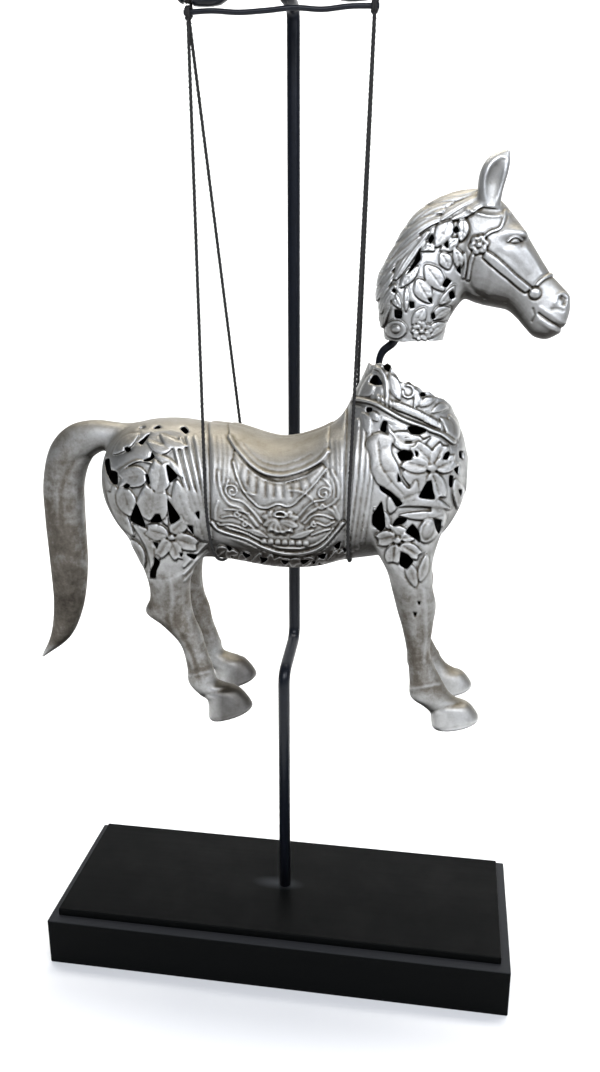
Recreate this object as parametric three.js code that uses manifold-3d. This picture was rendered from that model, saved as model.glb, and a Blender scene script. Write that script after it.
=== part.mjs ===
// A cast metal horse, pierced and carved, hung in two cord slings from a cranked rod on a black plinth.
// Millimetres, +Z up. The head points along +X and the near side faces -Y.
// The origin is the middle of the plinth's underside.

import * as THREE from 'three';
import { mergeVertices } from 'three/addons/utils/BufferGeometryUtils.js';
import Module from 'manifold-3d';

const wasm = await Module();
wasm.setup();

// Clearances
const SEAT_GAP = 0.3;
const ROD_CLEARANCE = 3.6;

// Plinth
const PLINTH_LENGTH = 380;
const PLINTH_WIDTH = 138;
const BLOCK_HEIGHT = 42;
const PANEL_INSET = 7.4;
const PANEL_THICKNESS = 6.9;
const EDGE_ROUND = 0.8;

// Rod and bars
const ROD_DIAMETER = 9.5;
const ROD_SEAT_DEPTH = 28;
const CRANK_HEIGHT = 250;
const CRANK_BEND = 11;
const HANGER_HEIGHT = 741.5;
const HANGER_GRIP_DIAMETER = 19;
const HANGER_GRIP_LENGTH = 32;
const GRIP_OVERHANG = 4;
const SPREADER_DIAMETER = 3.6;
const SPREADER_LENGTH = 130;
const SPREADER_WOBBLE = 0.9;

// Cords
const CORD_DIAMETER = 2.4;
const HITCH_INSET = 3;

// Horse
const HORSE_LENGTH = 408;
const WALL = 3;
const NECK_WALL = 2.6;
const RELIEF = 1.5;
const LEAF_RISE = 2.2;
const LEAF_SINK = 1.6;
const RIDGE_RADIUS = 2.2;
const LINK_DIAMETER = 5;

// The horse is drawn at a length of 408 and stands in its drawing with its barrel's middle at z 400
const DRAWN_LENGTH = 408;
const DRAWN_BARREL_Z = 400;
const DRAWN_BARREL_HALF = 43;
const SLING_DROP = 341.5;

const horseScale = HORSE_LENGTH / DRAWN_LENGTH;
const barrelHeight = HANGER_HEIGHT - SLING_DROP;
const plinthTop = BLOCK_HEIGHT + SEAT_GAP + PANEL_THICKNESS;
const rodRadius = ROD_DIAMETER / 2;
const cordRadius = CORD_DIAMETER / 2;
const cordStandOff = RELIEF + SEAT_GAP + cordRadius;
const crankSetback = DRAWN_BARREL_HALF * horseScale + cordStandOff + cordRadius + ROD_CLEARANCE + rodRadius / 2;
const spreaderDrop = HANGER_GRIP_DIAMETER / 2 + SEAT_GAP + SPREADER_WOBBLE + SPREADER_DIAMETER / 2;
const spreaderHeight = HANGER_HEIGHT - spreaderDrop;
const hitchX = SPREADER_LENGTH / 2 - HITCH_INSET;

const materials = {
  metal: () => new THREE.MeshStandardMaterial({ color: 0x9b9c99, roughness: 0.38, metalness: 1 }),
  wood: () => new THREE.MeshStandardMaterial({ color: 0x141516, roughness: 0.5, metalness: 0 }),
  iron: () => new THREE.MeshStandardMaterial({ color: 0x16181b, roughness: 0.45, metalness: 0.3 }),
  cord: () => new THREE.MeshStandardMaterial({ color: 0x222222, roughness: 0.9, metalness: 0 }),
};

// Closed skin over a list of rings, with a fan at each end
function skin(rings) {
  const sides = rings[0].length;
  const points = rings.flat();
  const faces = [];
  for (let r = 0; r < rings.length - 1; r++) {
    for (let s = 0; s < sides; s++) {
      const a = r * sides + s;
      const b = r * sides + ((s + 1) % sides);
      faces.push([a, b, b + sides], [a, b + sides, a + sides]);
    }
  }
  for (const [ring, start, turned] of [[rings[0], 0, true], [rings.at(-1), (rings.length - 1) * sides, false]]) {
    const middle = ring.reduce((sum, p) => sum.add(p), new THREE.Vector3()).divideScalar(sides);
    const hub = points.push(middle) - 1;
    for (let s = 0; s < sides; s++) {
      const a = start + s;
      const b = start + ((s + 1) % sides);
      faces.push(turned ? [hub, b, a] : [hub, a, b]);
    }
  }
  const swept = faces.reduce((sum, [a, b, c]) => sum + points[a].dot(points[b].clone().cross(points[c])), 0);
  const index = swept < 0 ? faces.flatMap(([a, b, c]) => [a, c, b]) : faces.flat();
  const geometry = new THREE.BufferGeometry().setFromPoints(points);
  geometry.setIndex(index);
  return geometry;
}

function solid(geometry) {
  const bare = geometry.clone();
  bare.deleteAttribute('normal');
  bare.deleteAttribute('uv');
  const merged = mergeVertices(bare, 1e-5);
  const mesh = new wasm.Mesh({
    numProp: 3,
    vertProperties: new Float32Array(merged.attributes.position.array),
    triVerts: new Uint32Array(merged.index.array),
  });
  return new wasm.Manifold(mesh);
}

function geometryOf(manifold) {
  const mesh = manifold.getMesh();
  const geometry = new THREE.BufferGeometry();
  geometry.setAttribute('position', new THREE.BufferAttribute(new Float32Array(mesh.vertProperties), 3));
  geometry.setIndex(new THREE.BufferAttribute(new Uint32Array(mesh.triVerts), 1));
  geometry.computeVertexNormals();
  return geometry;
}

// The outer skin alone, without specks or bubbles that crossing leaves close off
function outerSkin(manifold) {
  const mesh = manifold.getMesh();
  const parent = Array.from({ length: mesh.vertProperties.length / 3 }, (_, i) => i);
  const root = (i) => {
    while (parent[i] !== i) i = parent[i] = parent[parent[i]];
    return i;
  };
  const corner = (t, c) => mesh.triVerts[3 * t + c];
  for (let k = 0; k < mesh.mergeFromVert.length; k++) parent[root(mesh.mergeFromVert[k])] = root(mesh.mergeToVert[k]);
  const count = mesh.triVerts.length / 3;
  for (let t = 0; t < count; t++) {
    parent[root(corner(t, 0))] = root(corner(t, 1));
    parent[root(corner(t, 1))] = root(corner(t, 2));
  }
  const facesOf = new Map();
  for (let t = 0; t < count; t++) {
    const shell = root(corner(t, 0));
    facesOf.set(shell, [...(facesOf.get(shell) ?? []), corner(t, 0), corner(t, 1), corner(t, 2)]);
  }
  const largest = [...facesOf.values()].reduce((best, faces) => (faces.length > best.length ? faces : best));
  const geometry = new THREE.BufferGeometry();
  geometry.setAttribute('position', new THREE.BufferAttribute(new Float32Array(mesh.vertProperties), 3));
  geometry.setIndex(largest);
  return solid(geometry.toNonIndexed());
}

const union = (pieces) => pieces.reduce((whole, piece) => whole.add(piece));
const cut = (whole, pieces) => pieces.reduce((rest, piece) => rest.subtract(piece), whole);

// From the horse's drawing to its real place
const onHorse = (x, y, z) =>
  new THREE.Vector3(x * horseScale, y * horseScale, (z - DRAWN_BARREL_Z) * horseScale + barrelHeight);

// The ring of a section [backX, backZ, frontX, frontZ, halfWidth, sideways], square-shouldered above a power
// of 2, pulled in by an inset in real millimetres
function ringOf(section, sides, { power = 2, inset = 0 } = {}) {
  const [backX, backZ, frontX, frontZ, halfWidth, sideways] = section;
  const reach = Math.hypot(frontX - backX, frontZ - backZ) / 2;
  const shrunk = Math.max(reach - inset / horseScale, 0.3) / reach;
  const half = Math.max(halfWidth - inset / horseScale, 0.3);
  const squash = (v) => Math.sign(v) * Math.abs(v) ** (2 / power);
  return Array.from({ length: sides }, (_, s) => {
    const angle = ((s + 0.5) / sides) * 2 * Math.PI;
    const along = squash(Math.cos(angle)) * shrunk;
    const x = (backX + frontX) / 2 + ((frontX - backX) / 2) * along;
    const z = (backZ + frontZ) / 2 + ((frontZ - backZ) / 2) * along;
    return onHorse(x, sideways + squash(Math.sin(angle)) * half, z);
  });
}

function loft(sections, sides, { power = 2, inset = 0 } = {}) {
  return solid(skin(sections.map((section) => ringOf(section, sides, { power, inset }))));
}

// Barrel, rump and breast: [x, top, bottom, half width]
const TORSO = [
  [-140, 417, 399, 9],
  [-134, 434, 384, 23],
  [-122, 447, 366, 34],
  [-104, 454, 351, 40.5],
  [-80, 456, 348, 43],
  [-54, 453, 350, 42.5],
  [-36, 451, 349, 42.5],
  [0, 443, 345, 43],
  [28, 450, 347, 43],
  [48, 461, 353, 42.5],
  [74, 468, 358, 42.5],
  [100, 472, 364, 40],
  [120, 467, 376, 33],
  [131, 452, 393, 23],
  [137, 434, 410, 9],
].map(([x, top, bottom, half]) => [x, top, x, bottom, half, 0]);
const TORSO_SIDES = 22;
const TORSO_POWER = 2.25;

function torsoAt(x) {
  const next = TORSO.findIndex((section) => section[0] > x);
  const [before, after] = [TORSO[next - 1], TORSO[next]];
  const share = (x - before[0]) / (after[0] - before[0]);
  return before.map((value, n) => THREE.MathUtils.lerp(value, after[n], share));
}

// The stump of the neck, up to its broken edge
const NECK_STUMP = [
  [44, 440, 132, 420, 34, 0],
  [46, 463, 130, 446, 34, 0],
  [54, 481, 124, 468, 30, 0],
  [62, 499, 119, 487, 25, 0],
  [66, 514, 118, 506, 22, 0],
];
const STUMP_EDGE = [
  [30, 498], [61, 498], [67, 500.5], [77, 500], [80, 495], [85, 487], [95, 484], [105, 481.5], [115, 478], [123, 474],
  [150, 470], [150, 540], [30, 540],
];

const TAIL = [
  [-112, 450, -112, 430, 9, 0],
  [-130, 452, -132, 431, 9.5, 0],
  [-148, 453, -145, 427, 10, 0],
  [-167, 448, -153, 418, 10.5, 0],
  [-183, 432, -158, 402, 11, 0],
  [-191, 405, -159, 386, 11.5, 0],
  [-192, 374, -159.5, 362, 12, 0],
  [-191, 335, -160.5, 330, 11.5, 0],
  [-191, 300, -167, 296, 9.5, 0],
  [-196, 272, -180, 270, 6.5, 0],
  [-207, 250, -204, 251, 1.5, 0],
];

// Each leg from inside the barrel down to the sole
const FORELEG = [
  [72, 418, 126, 424, 15, 20],
  [71, 394, 126, 400, 17.5, 22],
  [73, 371, 119, 378, 17.5, 24],
  [82, 353, 115, 359, 14, 26],
  [86.5, 338, 116, 342, 11.5, 27.5],
  [90.5, 323, 119, 328, 10.5, 27.5],
  [95, 308, 117.5, 312, 9.5, 27.5],
  [99.5, 286, 116.5, 288, 8.3, 27.5],
  [101.5, 267, 125, 269, 8.8, 27.5],
  [103, 253, 132.5, 257, 10, 27.5],
  [117, 243, 143.5, 251, 10.2, 27.5],
  [118.5, 235, 154.5, 243, 12.3, 27.5],
  [122, 227.6, 153.5, 236, 12.2, 27.5],
];
const HINDLEG = [
  [-128, 410, -52, 418, 17, 22],
  [-122, 388, -49, 384, 19, 23],
  [-113, 367, -56, 359, 17.5, 25],
  [-105, 350, -64.5, 346, 14.5, 26.5],
  [-100, 335, -67.5, 335, 12.5, 27.5],
  [-99.5, 321, -67.5, 318, 11, 27.5],
  [-103.5, 310, -65, 306, 10.5, 27.5],
  [-92, 301, -60, 294, 9.4, 27.5],
  [-77, 285, -57, 281, 8.2, 27.5],
  [-72, 265, -51.5, 265, 8.2, 27.5],
  [-71, 252, -48.5, 254, 9.5, 27.5],
  [-60, 240.5, -36, 250.5, 9.8, 27.5],
  [-56, 230, -22, 242, 12.3, 27.5],
  [-53, 220, -22, 231.5, 12.2, 27.5],
];
const LEG_SIDES = 10;
const FAR_FORE_SHIFT = -4.6;
const FAR_HIND_SHIFT = -8;

// A leg on one side; a far foot stands a little behind the near one
function legSections(sections, side, shift) {
  return sections.map(([backX, backZ, frontX, frontZ, half, sideways], i) => {
    const moved = side > 0 ? shift * Math.min(1, i / (sections.length / 2)) : 0;
    return [backX + moved, backZ, frontX + moved, frontZ, half, sideways * side];
  });
}

// Where a line across the horse first meets a surface, and the way that the surface faces there
function surfaceFinder(whole) {
  const mesh = new THREE.Mesh(geometryOf(whole), new THREE.MeshBasicMaterial());
  const caster = new THREE.Raycaster();
  const far = HORSE_LENGTH;
  return (x, z, side) => {
    const start = onHorse(x, 0, z);
    start.y = far * side;
    caster.set(start, new THREE.Vector3(0, -side, 0));
    const hit = caster.intersectObject(mesh)[0];
    return hit ? { point: hit.point, normal: hit.face.normal } : null;
  };
}

// A leaf, petal or lock raised on the surface, highest along its middle
const LONG_LEAF = 30;
function leaf(find, side, [x, z, length, width, turn], rise = LEAF_RISE) {
  const angle = THREE.MathUtils.degToRad(turn);
  const rows = length > LONG_LEAF ? 4 : 2;
  const rings = [];
  for (let i = 0; i <= rows; i++) {
    const t = i / rows;
    const along = (t - 0.5) * length;
    const half = (width / 2) * Math.sin(Math.PI * (0.07 + 0.86 * t)) ** 0.75;
    const row = [-half, 0, half].map((across) => {
      const px = x + along * Math.cos(angle) - across * Math.sin(angle);
      const pz = z + along * Math.sin(angle) + across * Math.cos(angle);
      return find(px, pz, side);
    });
    if (row.some((hit) => !hit)) continue;
    const lift = (hit, height) => hit.point.clone().addScaledVector(hit.normal, height);
    rings.push([lift(row[0], 0.3), lift(row[1], rise), lift(row[2], 0.3), lift(row[1], -LEAF_SINK)]);
  }
  return solid(skin(rings));
}

// Petals around a point, with a boss in the middle
const PETAL_STEPS = [1, 0.5];
function flower(find, side, [x, z, size, petals, first]) {
  const count = petals * PETAL_STEPS.length;
  const ringAt = (share, lift) => Array.from({ length: count }, (_, i) => {
    const spread = PETAL_STEPS[i % PETAL_STEPS.length];
    const reach = (size / 2) * share * THREE.MathUtils.lerp(1, spread, share);
    const angle = THREE.MathUtils.degToRad(first) + (i / count) * 2 * Math.PI;
    const hit = find(x + reach * Math.cos(angle), z + reach * Math.sin(angle), side);
    return hit.point.clone().addScaledVector(hit.normal, lift);
  });
  return solid(skin([ringAt(0.15, LEAF_RISE * 0.8), ringAt(0.62, LEAF_RISE), ringAt(1, 0.3), ringAt(0.6, -LEAF_SINK)]));
}

// A hole with straight sides, from inside the hollow out through one wall
const HOLE_START = 16;
const HOLE_END = 70;
function hole(side, points, start = HOLE_START) {
  const ringAt = (y) => points.map(([x, z]) => onHorse(x, y * side, z));
  return solid(skin([ringAt(start), ringAt(HOLE_END)]));
}

// A raised line laid over the surface through drawn points
function ridge(find, side, points, radius) {
  const hits = points.map(([x, z]) => find(x, z, side)).filter((hit) => hit);
  const path = hits.map((hit) => hit.point.clone().addScaledVector(hit.normal, radius * 0.35));
  return sweep(path, radius, 3);
}

// A round bar through points, with a ring square to the path at each of them
function sweep(path, radius, sides) {
  const direction = (i) => {
    const before = path[Math.max(i - 1, 0)];
    const after = path[Math.min(i + 1, path.length - 1)];
    return after.clone().sub(before).normalize();
  };
  const first = direction(0);
  let across = new THREE.Vector3(0, 1, 0).cross(first);
  if (across.length() < 0.1) across = new THREE.Vector3(1, 0, 0).cross(first);
  const rings = path.map((point, i) => {
    const forward = direction(i);
    across.addScaledVector(forward, -across.dot(forward)).normalize();
    const up = forward.clone().cross(across);
    const reach = Array.isArray(radius) ? radius[i] : radius;
    return Array.from({ length: sides }, (_, s) => {
      const angle = (s / sides) * 2 * Math.PI;
      return point.clone()
        .addScaledVector(across, Math.cos(angle) * reach)
        .addScaledVector(up, Math.sin(angle) * reach);
    });
  });
  return solid(skin(rings));
}

// Raised girth straps round the barrel, side by side, as one ribbed band from one place along it to another
function ribbedBand(from, to, ribs) {
  const lifts = [-0.3];
  for (let i = 0; i < ribs; i++) lifts.push(RELIEF, 0.35);
  lifts[lifts.length - 1] = -0.3;
  const rings = lifts.map((lift, i) => {
    const x = THREE.MathUtils.lerp(from, to, i / (lifts.length - 1));
    return ringOf(torsoAt(x), TORSO_SIDES, { power: TORSO_POWER, inset: -lift });
  });
  return solid(skin(rings));
}

// Saddle cloth: the barrel made a little fuller, kept only above the cloth's curved hem
const CLOTH = { back: -46, front: 50 };
const HEM = [[-46, 388], [-38, 379], [-24, 371], [-6, 366.5], [10, 366], [26, 369], [38, 375], [50, 386]];
function saddleCloth() {
  const between = TORSO.map(([x]) => x).filter((x) => x > CLOTH.back && x < CLOTH.front);
  const rings = [CLOTH.back, ...between, CLOTH.front].map((x) =>
    ringOf(torsoAt(x), TORSO_SIDES, { power: TORSO_POWER, inset: -RELIEF }));
  const outline = [...HEM, [60, 480], [-60, 480]];
  const slab = skin([-HOLE_END, HOLE_END].map((y) => outline.map(([x, z]) => onHorse(x, y, z))));
  return solid(skin(rings)).intersect(solid(slab));
}

// Seat's raised rim, one closed crescent on each side that meets the other over the back
const SEAT_RIM = [[-30, 446], [-22, 437], [-10, 430], [5, 428], [20, 432], [31, 444]];
const CLOTH_BORDER = [[-38, 430], [-31, 412], [-16, 403], [5, 401], [25, 404], [37, 413], [42, 430]];
const BREAST_STRAP = [[62, 474], [80, 469.5], [98, 464.5], [112, 460], [123, 455]];
const GIRTHS = [[-72, -50.5, 3], [57.5, 71, 2]];

// Leaves and petals drawn on the near side: [x, z, length, width, turn]. The far side has the first few of each
// list alone, because it is carved more plainly.
const LEAVES = [
  [-108, 420, 22, 15, 15], [-86, 421, 22, 15, 80], [-66, 396, 44, 17, 112], [-102, 364, 36, 13, 118],
  [77, 432, 44, 18, 110], [107, 404.5, 34, 10, 4], [93, 413, 24, 12, -8],
  [-95, 402, 18, 14, 120], [-83, 402, 18, 14, 60], [-114, 398, 24, 12, 115], [-74, 443, 26, 10, 155],
  [109, 386, 19, 13, 100], [95, 453, 26, 9, -10],
];
const FAR_LEAVES = 6;
const FLOWERS = [[110, 434, 36, 5, 10], [-79, 369, 33, 5, 20], [85, 380, 27, 5, 20]];
const FAR_FLOWERS = 2;

// Holes drawn on the near side, each a short outline, the larger ones first
const HOLES = [
  [[-125, 430], [-119, 432], [-116, 413], [-121, 414]],
  [[-104, 399], [-97, 383], [-108, 387]],
  [[-80, 403], [-71, 391], [-77, 386]],
  [[-78, 431], [-71, 421], [-77, 417]],
  [[-91, 360], [-87, 357], [-92, 342], [-95, 343]],
  [[88, 441], [89, 446], [98, 446], [98, 440]],
  [[71, 397], [77, 411], [80, 392]],
  [[96, 387], [103, 396], [104, 381]],
  [[92, 366], [96, 371], [101, 366], [96, 358]],
  [[102, 414], [111, 426], [112, 415]],
  [[-94, 387], [-86, 393], [-84, 386]],
  [[-98, 433], [-88, 439], [-89, 434]],
  [[-102, 442], [-99, 446], [-91, 452], [-93, 448]],
  [[-67, 362], [-58, 363], [-60, 358]],
  [[-93, 369], [-88, 371], [-88, 365]],
  [[77, 458], [80, 467], [83, 460]],
  [[94, 461], [100, 463], [106, 459], [98, 458]],
  [[75, 419], [78, 420], [90, 408], [87, 406]],
];
const FAR_HOLES = 8;

const forSide = (list, farCount, side) => (side < 0 ? list : list.slice(0, farCount));

function buildBody() {
  const torso = loft(TORSO, TORSO_SIDES, { power: TORSO_POWER });
  const stump = loft(NECK_STUMP, 16, { power: 2.1 });
  const tail = loft(TAIL, 8);
  const legs = [];
  const hollows = [
    loft(TORSO.filter((_, i) => i % 2 === 0), 12, { power: TORSO_POWER, inset: WALL }),
    loft(NECK_STUMP, 12, { power: 2.1, inset: WALL }),
  ];
  for (const side of [-1, 1]) {
    for (const [sections, shift] of [[FORELEG, FAR_FORE_SHIFT], [HINDLEG, FAR_HIND_SHIFT]]) {
      const placed = legSections(sections, side, shift);
      legs.push(loft(placed, LEG_SIDES));
      hollows.push(loft(placed.slice(0, 4), 8, { inset: WALL }));
    }
  }
  const smooth = union([torso, stump, tail, ...legs]);
  const find = surfaceFinder(smooth);

  const raised = [saddleCloth(), ...GIRTHS.map(([from, to, ribs]) => ribbedBand(from, to, ribs))];
  const pierced = [];
  for (const side of [-1, 1]) {
    for (const drawn of forSide(LEAVES, FAR_LEAVES, side)) raised.push(leaf(find, side, drawn));
    for (const drawn of forSide(FLOWERS, FAR_FLOWERS, side)) raised.push(flower(find, side, drawn));
    for (const points of forSide(HOLES, FAR_HOLES, side)) pierced.push(hole(side, points));
    for (const line of [SEAT_RIM, CLOTH_BORDER, BREAST_STRAP]) raised.push(ridge(find, side, line, RIDGE_RADIUS));
  }
  const edge = [-HOLE_END, HOLE_END].map((y) => STUMP_EDGE.map(([x, z]) => onHorse(x, y, z)));
  const above = solid(skin(edge));
  return outerSkin(cut(union([smooth, ...raised]), [union(hollows), above, ...pierced]));
}

// Neck from its open mouth up to the poll, crest point first and throat point second
const NECK = [
  [74, 518, 116, 517.5, 20, 0],
  [71.5, 530, 118.5, 529, 21.5, 0],
  [67.5, 548, 122, 538, 22, 0],
  [71, 566, 126, 544, 21, 0],
  [80, 581, 129, 549, 19.5, 0],
  [92, 600, 131, 553, 18, 0],
  [110, 611.5, 135, 556, 16.5, 0],
  [130, 616.5, 141, 560, 15, 0],
  [143, 612, 144, 572, 12, 0],
];
// Head from the back of the jaw to the muzzle
const HEAD = [
  [127, 590, 125, 560, 11, 0],
  [134, 610, 131, 546, 17, 0],
  [147, 611.5, 139, 542.5, 19.5, 0],
  [160, 599, 149, 540.5, 18.5, 0],
  [170, 585.5, 158, 538.5, 15.5, 0],
  [178, 573.5, 165, 533, 13, 0],
  [186, 562.5, 171, 526.5, 11.8, 0],
  [193.5, 555, 177.5, 520.8, 12, 0],
  [198.5, 549, 186, 519.5, 11.3, 0],
  [200, 542, 194, 524, 8, 0],
  [199.5, 536, 197.5, 530, 3, 0],
];
const EAR = [
  [134.5, 608, 147.5, 607, 4.5, 10.5],
  [134.2, 621, 148, 618, 6, 10.8],
  [137, 631, 150, 627, 5.6, 11],
  [143, 636.5, 151.5, 633, 3.6, 11],
  [150, 639.5, 152, 638, 0.8, 10.5],
];
const EAR_SCOOP = [
  [138.5, 612, 147, 611, 3, 15.5],
  [138.5, 621, 148.5, 619, 4.6, 16],
  [141, 629, 150, 627, 4, 16],
  [146, 634, 151, 632.5, 1.6, 15],
];
const MANE_LOCKS = [
  [78, 541, 24, 9, 70], [78, 560, 26, 9, 55], [86, 576, 28, 9, 48], [97, 592, 28, 9, 36], [112, 603, 28, 8, 22],
];
const NECK_LEAVES = [[108, 561, 22, 11, 118], [99, 547, 24, 11, 125], [82, 526, 13, 12, 0]];
const FAR_NECK_LEAVES = 2;
const FAR_NECK_FLOWERS = 0;
const NECK_FLOWER = [101, 526, 16, 5, 90];
const ROSETTE = [136, 583, 13, 12, 0];
const EYE = [159.5, 585.5, 9, 5.5, -28];
const BIT_BOSS = [175.5, 548.5, 9.5, 9.5, 0];
const NOSTRIL = [190, 545, 9, 5, 60];
const NECK_HOLES = [
  [[113, 556], [116, 561], [119, 558], [115, 554]],
  [[80, 538], [86, 538], [86, 533], [81, 533]],
  [[89, 564], [95, 575], [98, 574]],
  [[117, 596], [123, 590], [119, 590]],
  [[90, 546], [95, 542], [92, 539]],
  [[101, 584], [105, 589], [105, 583]],
  [[116, 547], [119, 552], [120, 547]],
];
const FAR_NECK_HOLES = 3;
const STRAP_RADIUS = 1.5;
const CHEEK_STRAP = [[139, 577], [147, 571], [158, 562], [168, 555], [174, 551]];
const NOSE_STRAP = [[177, 553], [181, 559], [184, 563]];
const MOUTH = [[173, 534], [182, 530], [199, 528.5], [199, 526.5], [182, 528], [173, 532.6]];

function buildHead() {
  const neck = loft(NECK, 16, { power: 2.1 });
  const skull = loft(HEAD, 14, { power: 2.2 });
  const ears = [];
  for (const side of [-1, 1]) {
    const turned = (sections) => sections.map((section) => [...section.slice(0, 5), section[5] * side]);
    ears.push(cut(loft(turned(EAR), 8), [loft(turned(EAR_SCOOP), 6)]));
  }
  const smooth = union([neck, skull]);
  const find = surfaceFinder(smooth);
  const belowMouth = [[74, 505, 116, 504.5, 20, 0]];
  const hollow = loft([...belowMouth, ...NECK.slice(0, 7)], 12, { power: 2.1, inset: NECK_WALL });

  const raised = [...ears];
  const pierced = [];
  for (const side of [-1, 1]) {
    const carved = [...MANE_LOCKS, ROSETTE, EYE, BIT_BOSS, NOSTRIL];
    for (const drawn of [...carved, ...forSide(NECK_LEAVES, FAR_NECK_LEAVES, side)]) {
      raised.push(leaf(find, side, drawn));
    }
    for (const drawn of forSide([NECK_FLOWER], FAR_NECK_FLOWERS, side)) raised.push(flower(find, side, drawn));
    for (const strap of [CHEEK_STRAP, NOSE_STRAP]) raised.push(ridge(find, side, strap, STRAP_RADIUS));
    for (const points of forSide(NECK_HOLES, FAR_NECK_HOLES, side)) pierced.push(hole(side, points, 8));
    pierced.push(hole(side, MOUTH, 4));
  }
  return outerSkin(cut(union([smooth, ...raised]), [hollow, ...pierced]));
}

// Black iron link that shows in the gap of the neck: [x, z, radius], from inside the neck to inside the stump
const LINK = [[86, 534, 3.4], [82.4, 522, 3.3], [80.2, 515.5, 3], [73, 509, 2.8], [70.5, 502, 2.5], [71.5, 484, 2.5]];
function buildLink() {
  const points = LINK.map(([x, z]) => onHorse(x, 0, z));
  return sweep(points, LINK.map((entry) => (entry[2] * LINK_DIAMETER) / 5), 8);
}

// Plinth
function roundedSlab(length, width, height, edge) {
  const rings = [
    [length / 2 - edge, width / 2 - edge, 0], [length / 2, width / 2, edge],
    [length / 2, width / 2, height - edge], [length / 2 - edge, width / 2 - edge, height],
  ];
  const corners = [[1, 1], [-1, 1], [-1, -1], [1, -1]];
  return solid(skin(rings.map(([x, y, z]) => corners.map(([sx, sy]) => new THREE.Vector3(sx * x, sy * y, z)))));
}

function bore(depth, top) {
  const radius = rodRadius + SEAT_GAP;
  const geometry = new THREE.CylinderGeometry(radius, radius, depth, 24);
  geometry.rotateX(Math.PI / 2);
  geometry.translate(0, 0, top - depth / 2);
  return solid(geometry);
}

const seatInBlock = ROD_SEAT_DEPTH - PANEL_THICKNESS;

function buildBlock() {
  const block = roundedSlab(PLINTH_LENGTH, PLINTH_WIDTH, BLOCK_HEIGHT, EDGE_ROUND);
  return block.subtract(bore(seatInBlock + SEAT_GAP + 1, BLOCK_HEIGHT + 1));
}

function buildPanel() {
  const length = PLINTH_LENGTH - 2 * PANEL_INSET;
  const width = PLINTH_WIDTH - 2 * PANEL_INSET;
  const panel = roundedSlab(length, width, PANEL_THICKNESS, EDGE_ROUND);
  return panel.subtract(bore(PANEL_THICKNESS + 2, PANEL_THICKNESS + 1));
}

// Rod: up from the plinth, cranked back behind the horse, up, and forward to the hanger bar
function bend(from, corner, to, size, count) {
  const start = corner.clone().add(from.clone().sub(corner).setLength(size));
  const end = corner.clone().add(to.clone().sub(corner).setLength(size));
  return new THREE.QuadraticBezierCurve3(start, corner, end).getPoints(count);
}

function buildRod() {
  const at = (y, z) => new THREE.Vector3(0, y, z);
  const foot = at(0, plinthTop - ROD_SEAT_DEPTH);
  const crankLow = at(0, CRANK_HEIGHT);
  const crankBack = at(crankSetback, CRANK_HEIGHT + CRANK_BEND);
  const top = at(crankSetback, HANGER_HEIGHT);
  const nose = at(rodRadius + SEAT_GAP, HANGER_HEIGHT);
  const path = [
    foot,
    ...bend(foot, crankLow, crankBack, CRANK_BEND, 3),
    ...bend(crankLow, crankBack, top, CRANK_BEND, 3),
    ...bend(crankBack, top, nose, CRANK_BEND, 3),
    nose,
  ];
  return sweep(path, rodRadius, 12);
}

// Hanger bar with a turned grip at each end and a groove in it that keeps the cord
function buildHanger() {
  const grip = HANGER_GRIP_DIAMETER / 2;
  const groove = HITCH_INSET - 0.6;
  const end = hitchX + HITCH_INSET + GRIP_OVERHANG;
  const inner = end - HANGER_GRIP_LENGTH;
  const half = [
    [inner - 4, rodRadius], [inner + 3, grip * 0.92], [inner + 12, grip], [hitchX - groove - 1.6, grip * 0.94],
    [hitchX - groove, rodRadius], [hitchX + groove, rodRadius], [hitchX + groove + 1.4, grip * 0.78],
    [end, grip * 0.55],
  ];
  const profile = [...half.map(([x, r]) => [-x, r]).reverse(), ...half];
  const points = [[profile[0][0], 0], ...profile, [profile.at(-1)[0], 0]];
  const geometry = new THREE.LatheGeometry(points.map(([x, r]) => new THREE.Vector2(r, x)), 12);
  geometry.rotateZ(-Math.PI / 2);
  return solid(geometry);
}

function buildSpreader() {
  const radius = SPREADER_DIAMETER / 2;
  const wobble = [0, 0.6, -1, -0.4, 0.8, -0.9, 0.5, 0];
  const points = wobble.map((up, i) =>
    new THREE.Vector3((i / (wobble.length - 1) - 0.5) * SPREADER_LENGTH, 0, up * SPREADER_WOBBLE));
  return sweep(points, radius, 8);
}

// Slings: a hitch round the spreader, a strand down the near side, under the belly, up the far side
// and back to the hitch, and one more strand from the hitch up to the hanger bar
const REAR_SLING = { hitch: -1, near: -49, far: -39 };
const FRONT_SLING = { hitch: 1, near: 55.5, far: 50 };
const WRAP_FROM = 15;
const WRAP_STEPS = 14;

function slingPath({ hitch, near, far }) {
  const knot = new THREE.Vector3(hitch * hitchX, 0, spreaderHeight);
  const reach = SPREADER_DIAMETER / 2 + SEAT_GAP + cordRadius;
  const wrap = [];
  for (let i = 0; i <= WRAP_STEPS; i++) {
    const turn = THREE.MathUtils.degToRad(THREE.MathUtils.lerp(-WRAP_FROM, 180 + WRAP_FROM, i / WRAP_STEPS));
    const x = THREE.MathUtils.lerp(near, far, i / WRAP_STEPS);
    const [, top, , bottom, half] = torsoAt(x);
    const fuller = (v) => Math.sign(v) * Math.abs(v) ** (2 / TORSO_POWER);
    const standOff = cordStandOff / horseScale;
    const y = -fuller(Math.cos(turn)) * (half + standOff);
    const z = (top + bottom) / 2 - fuller(Math.sin(turn)) * ((top - bottom) / 2 + standOff);
    wrap.push(onHorse(x, y, z));
  }
  const leave = knot.clone().add(new THREE.Vector3(0, -reach * 0.5, -reach));
  const back = knot.clone().add(new THREE.Vector3(0, reach * 0.5, -reach));
  return [leave, ...wrap, back];
}

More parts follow.
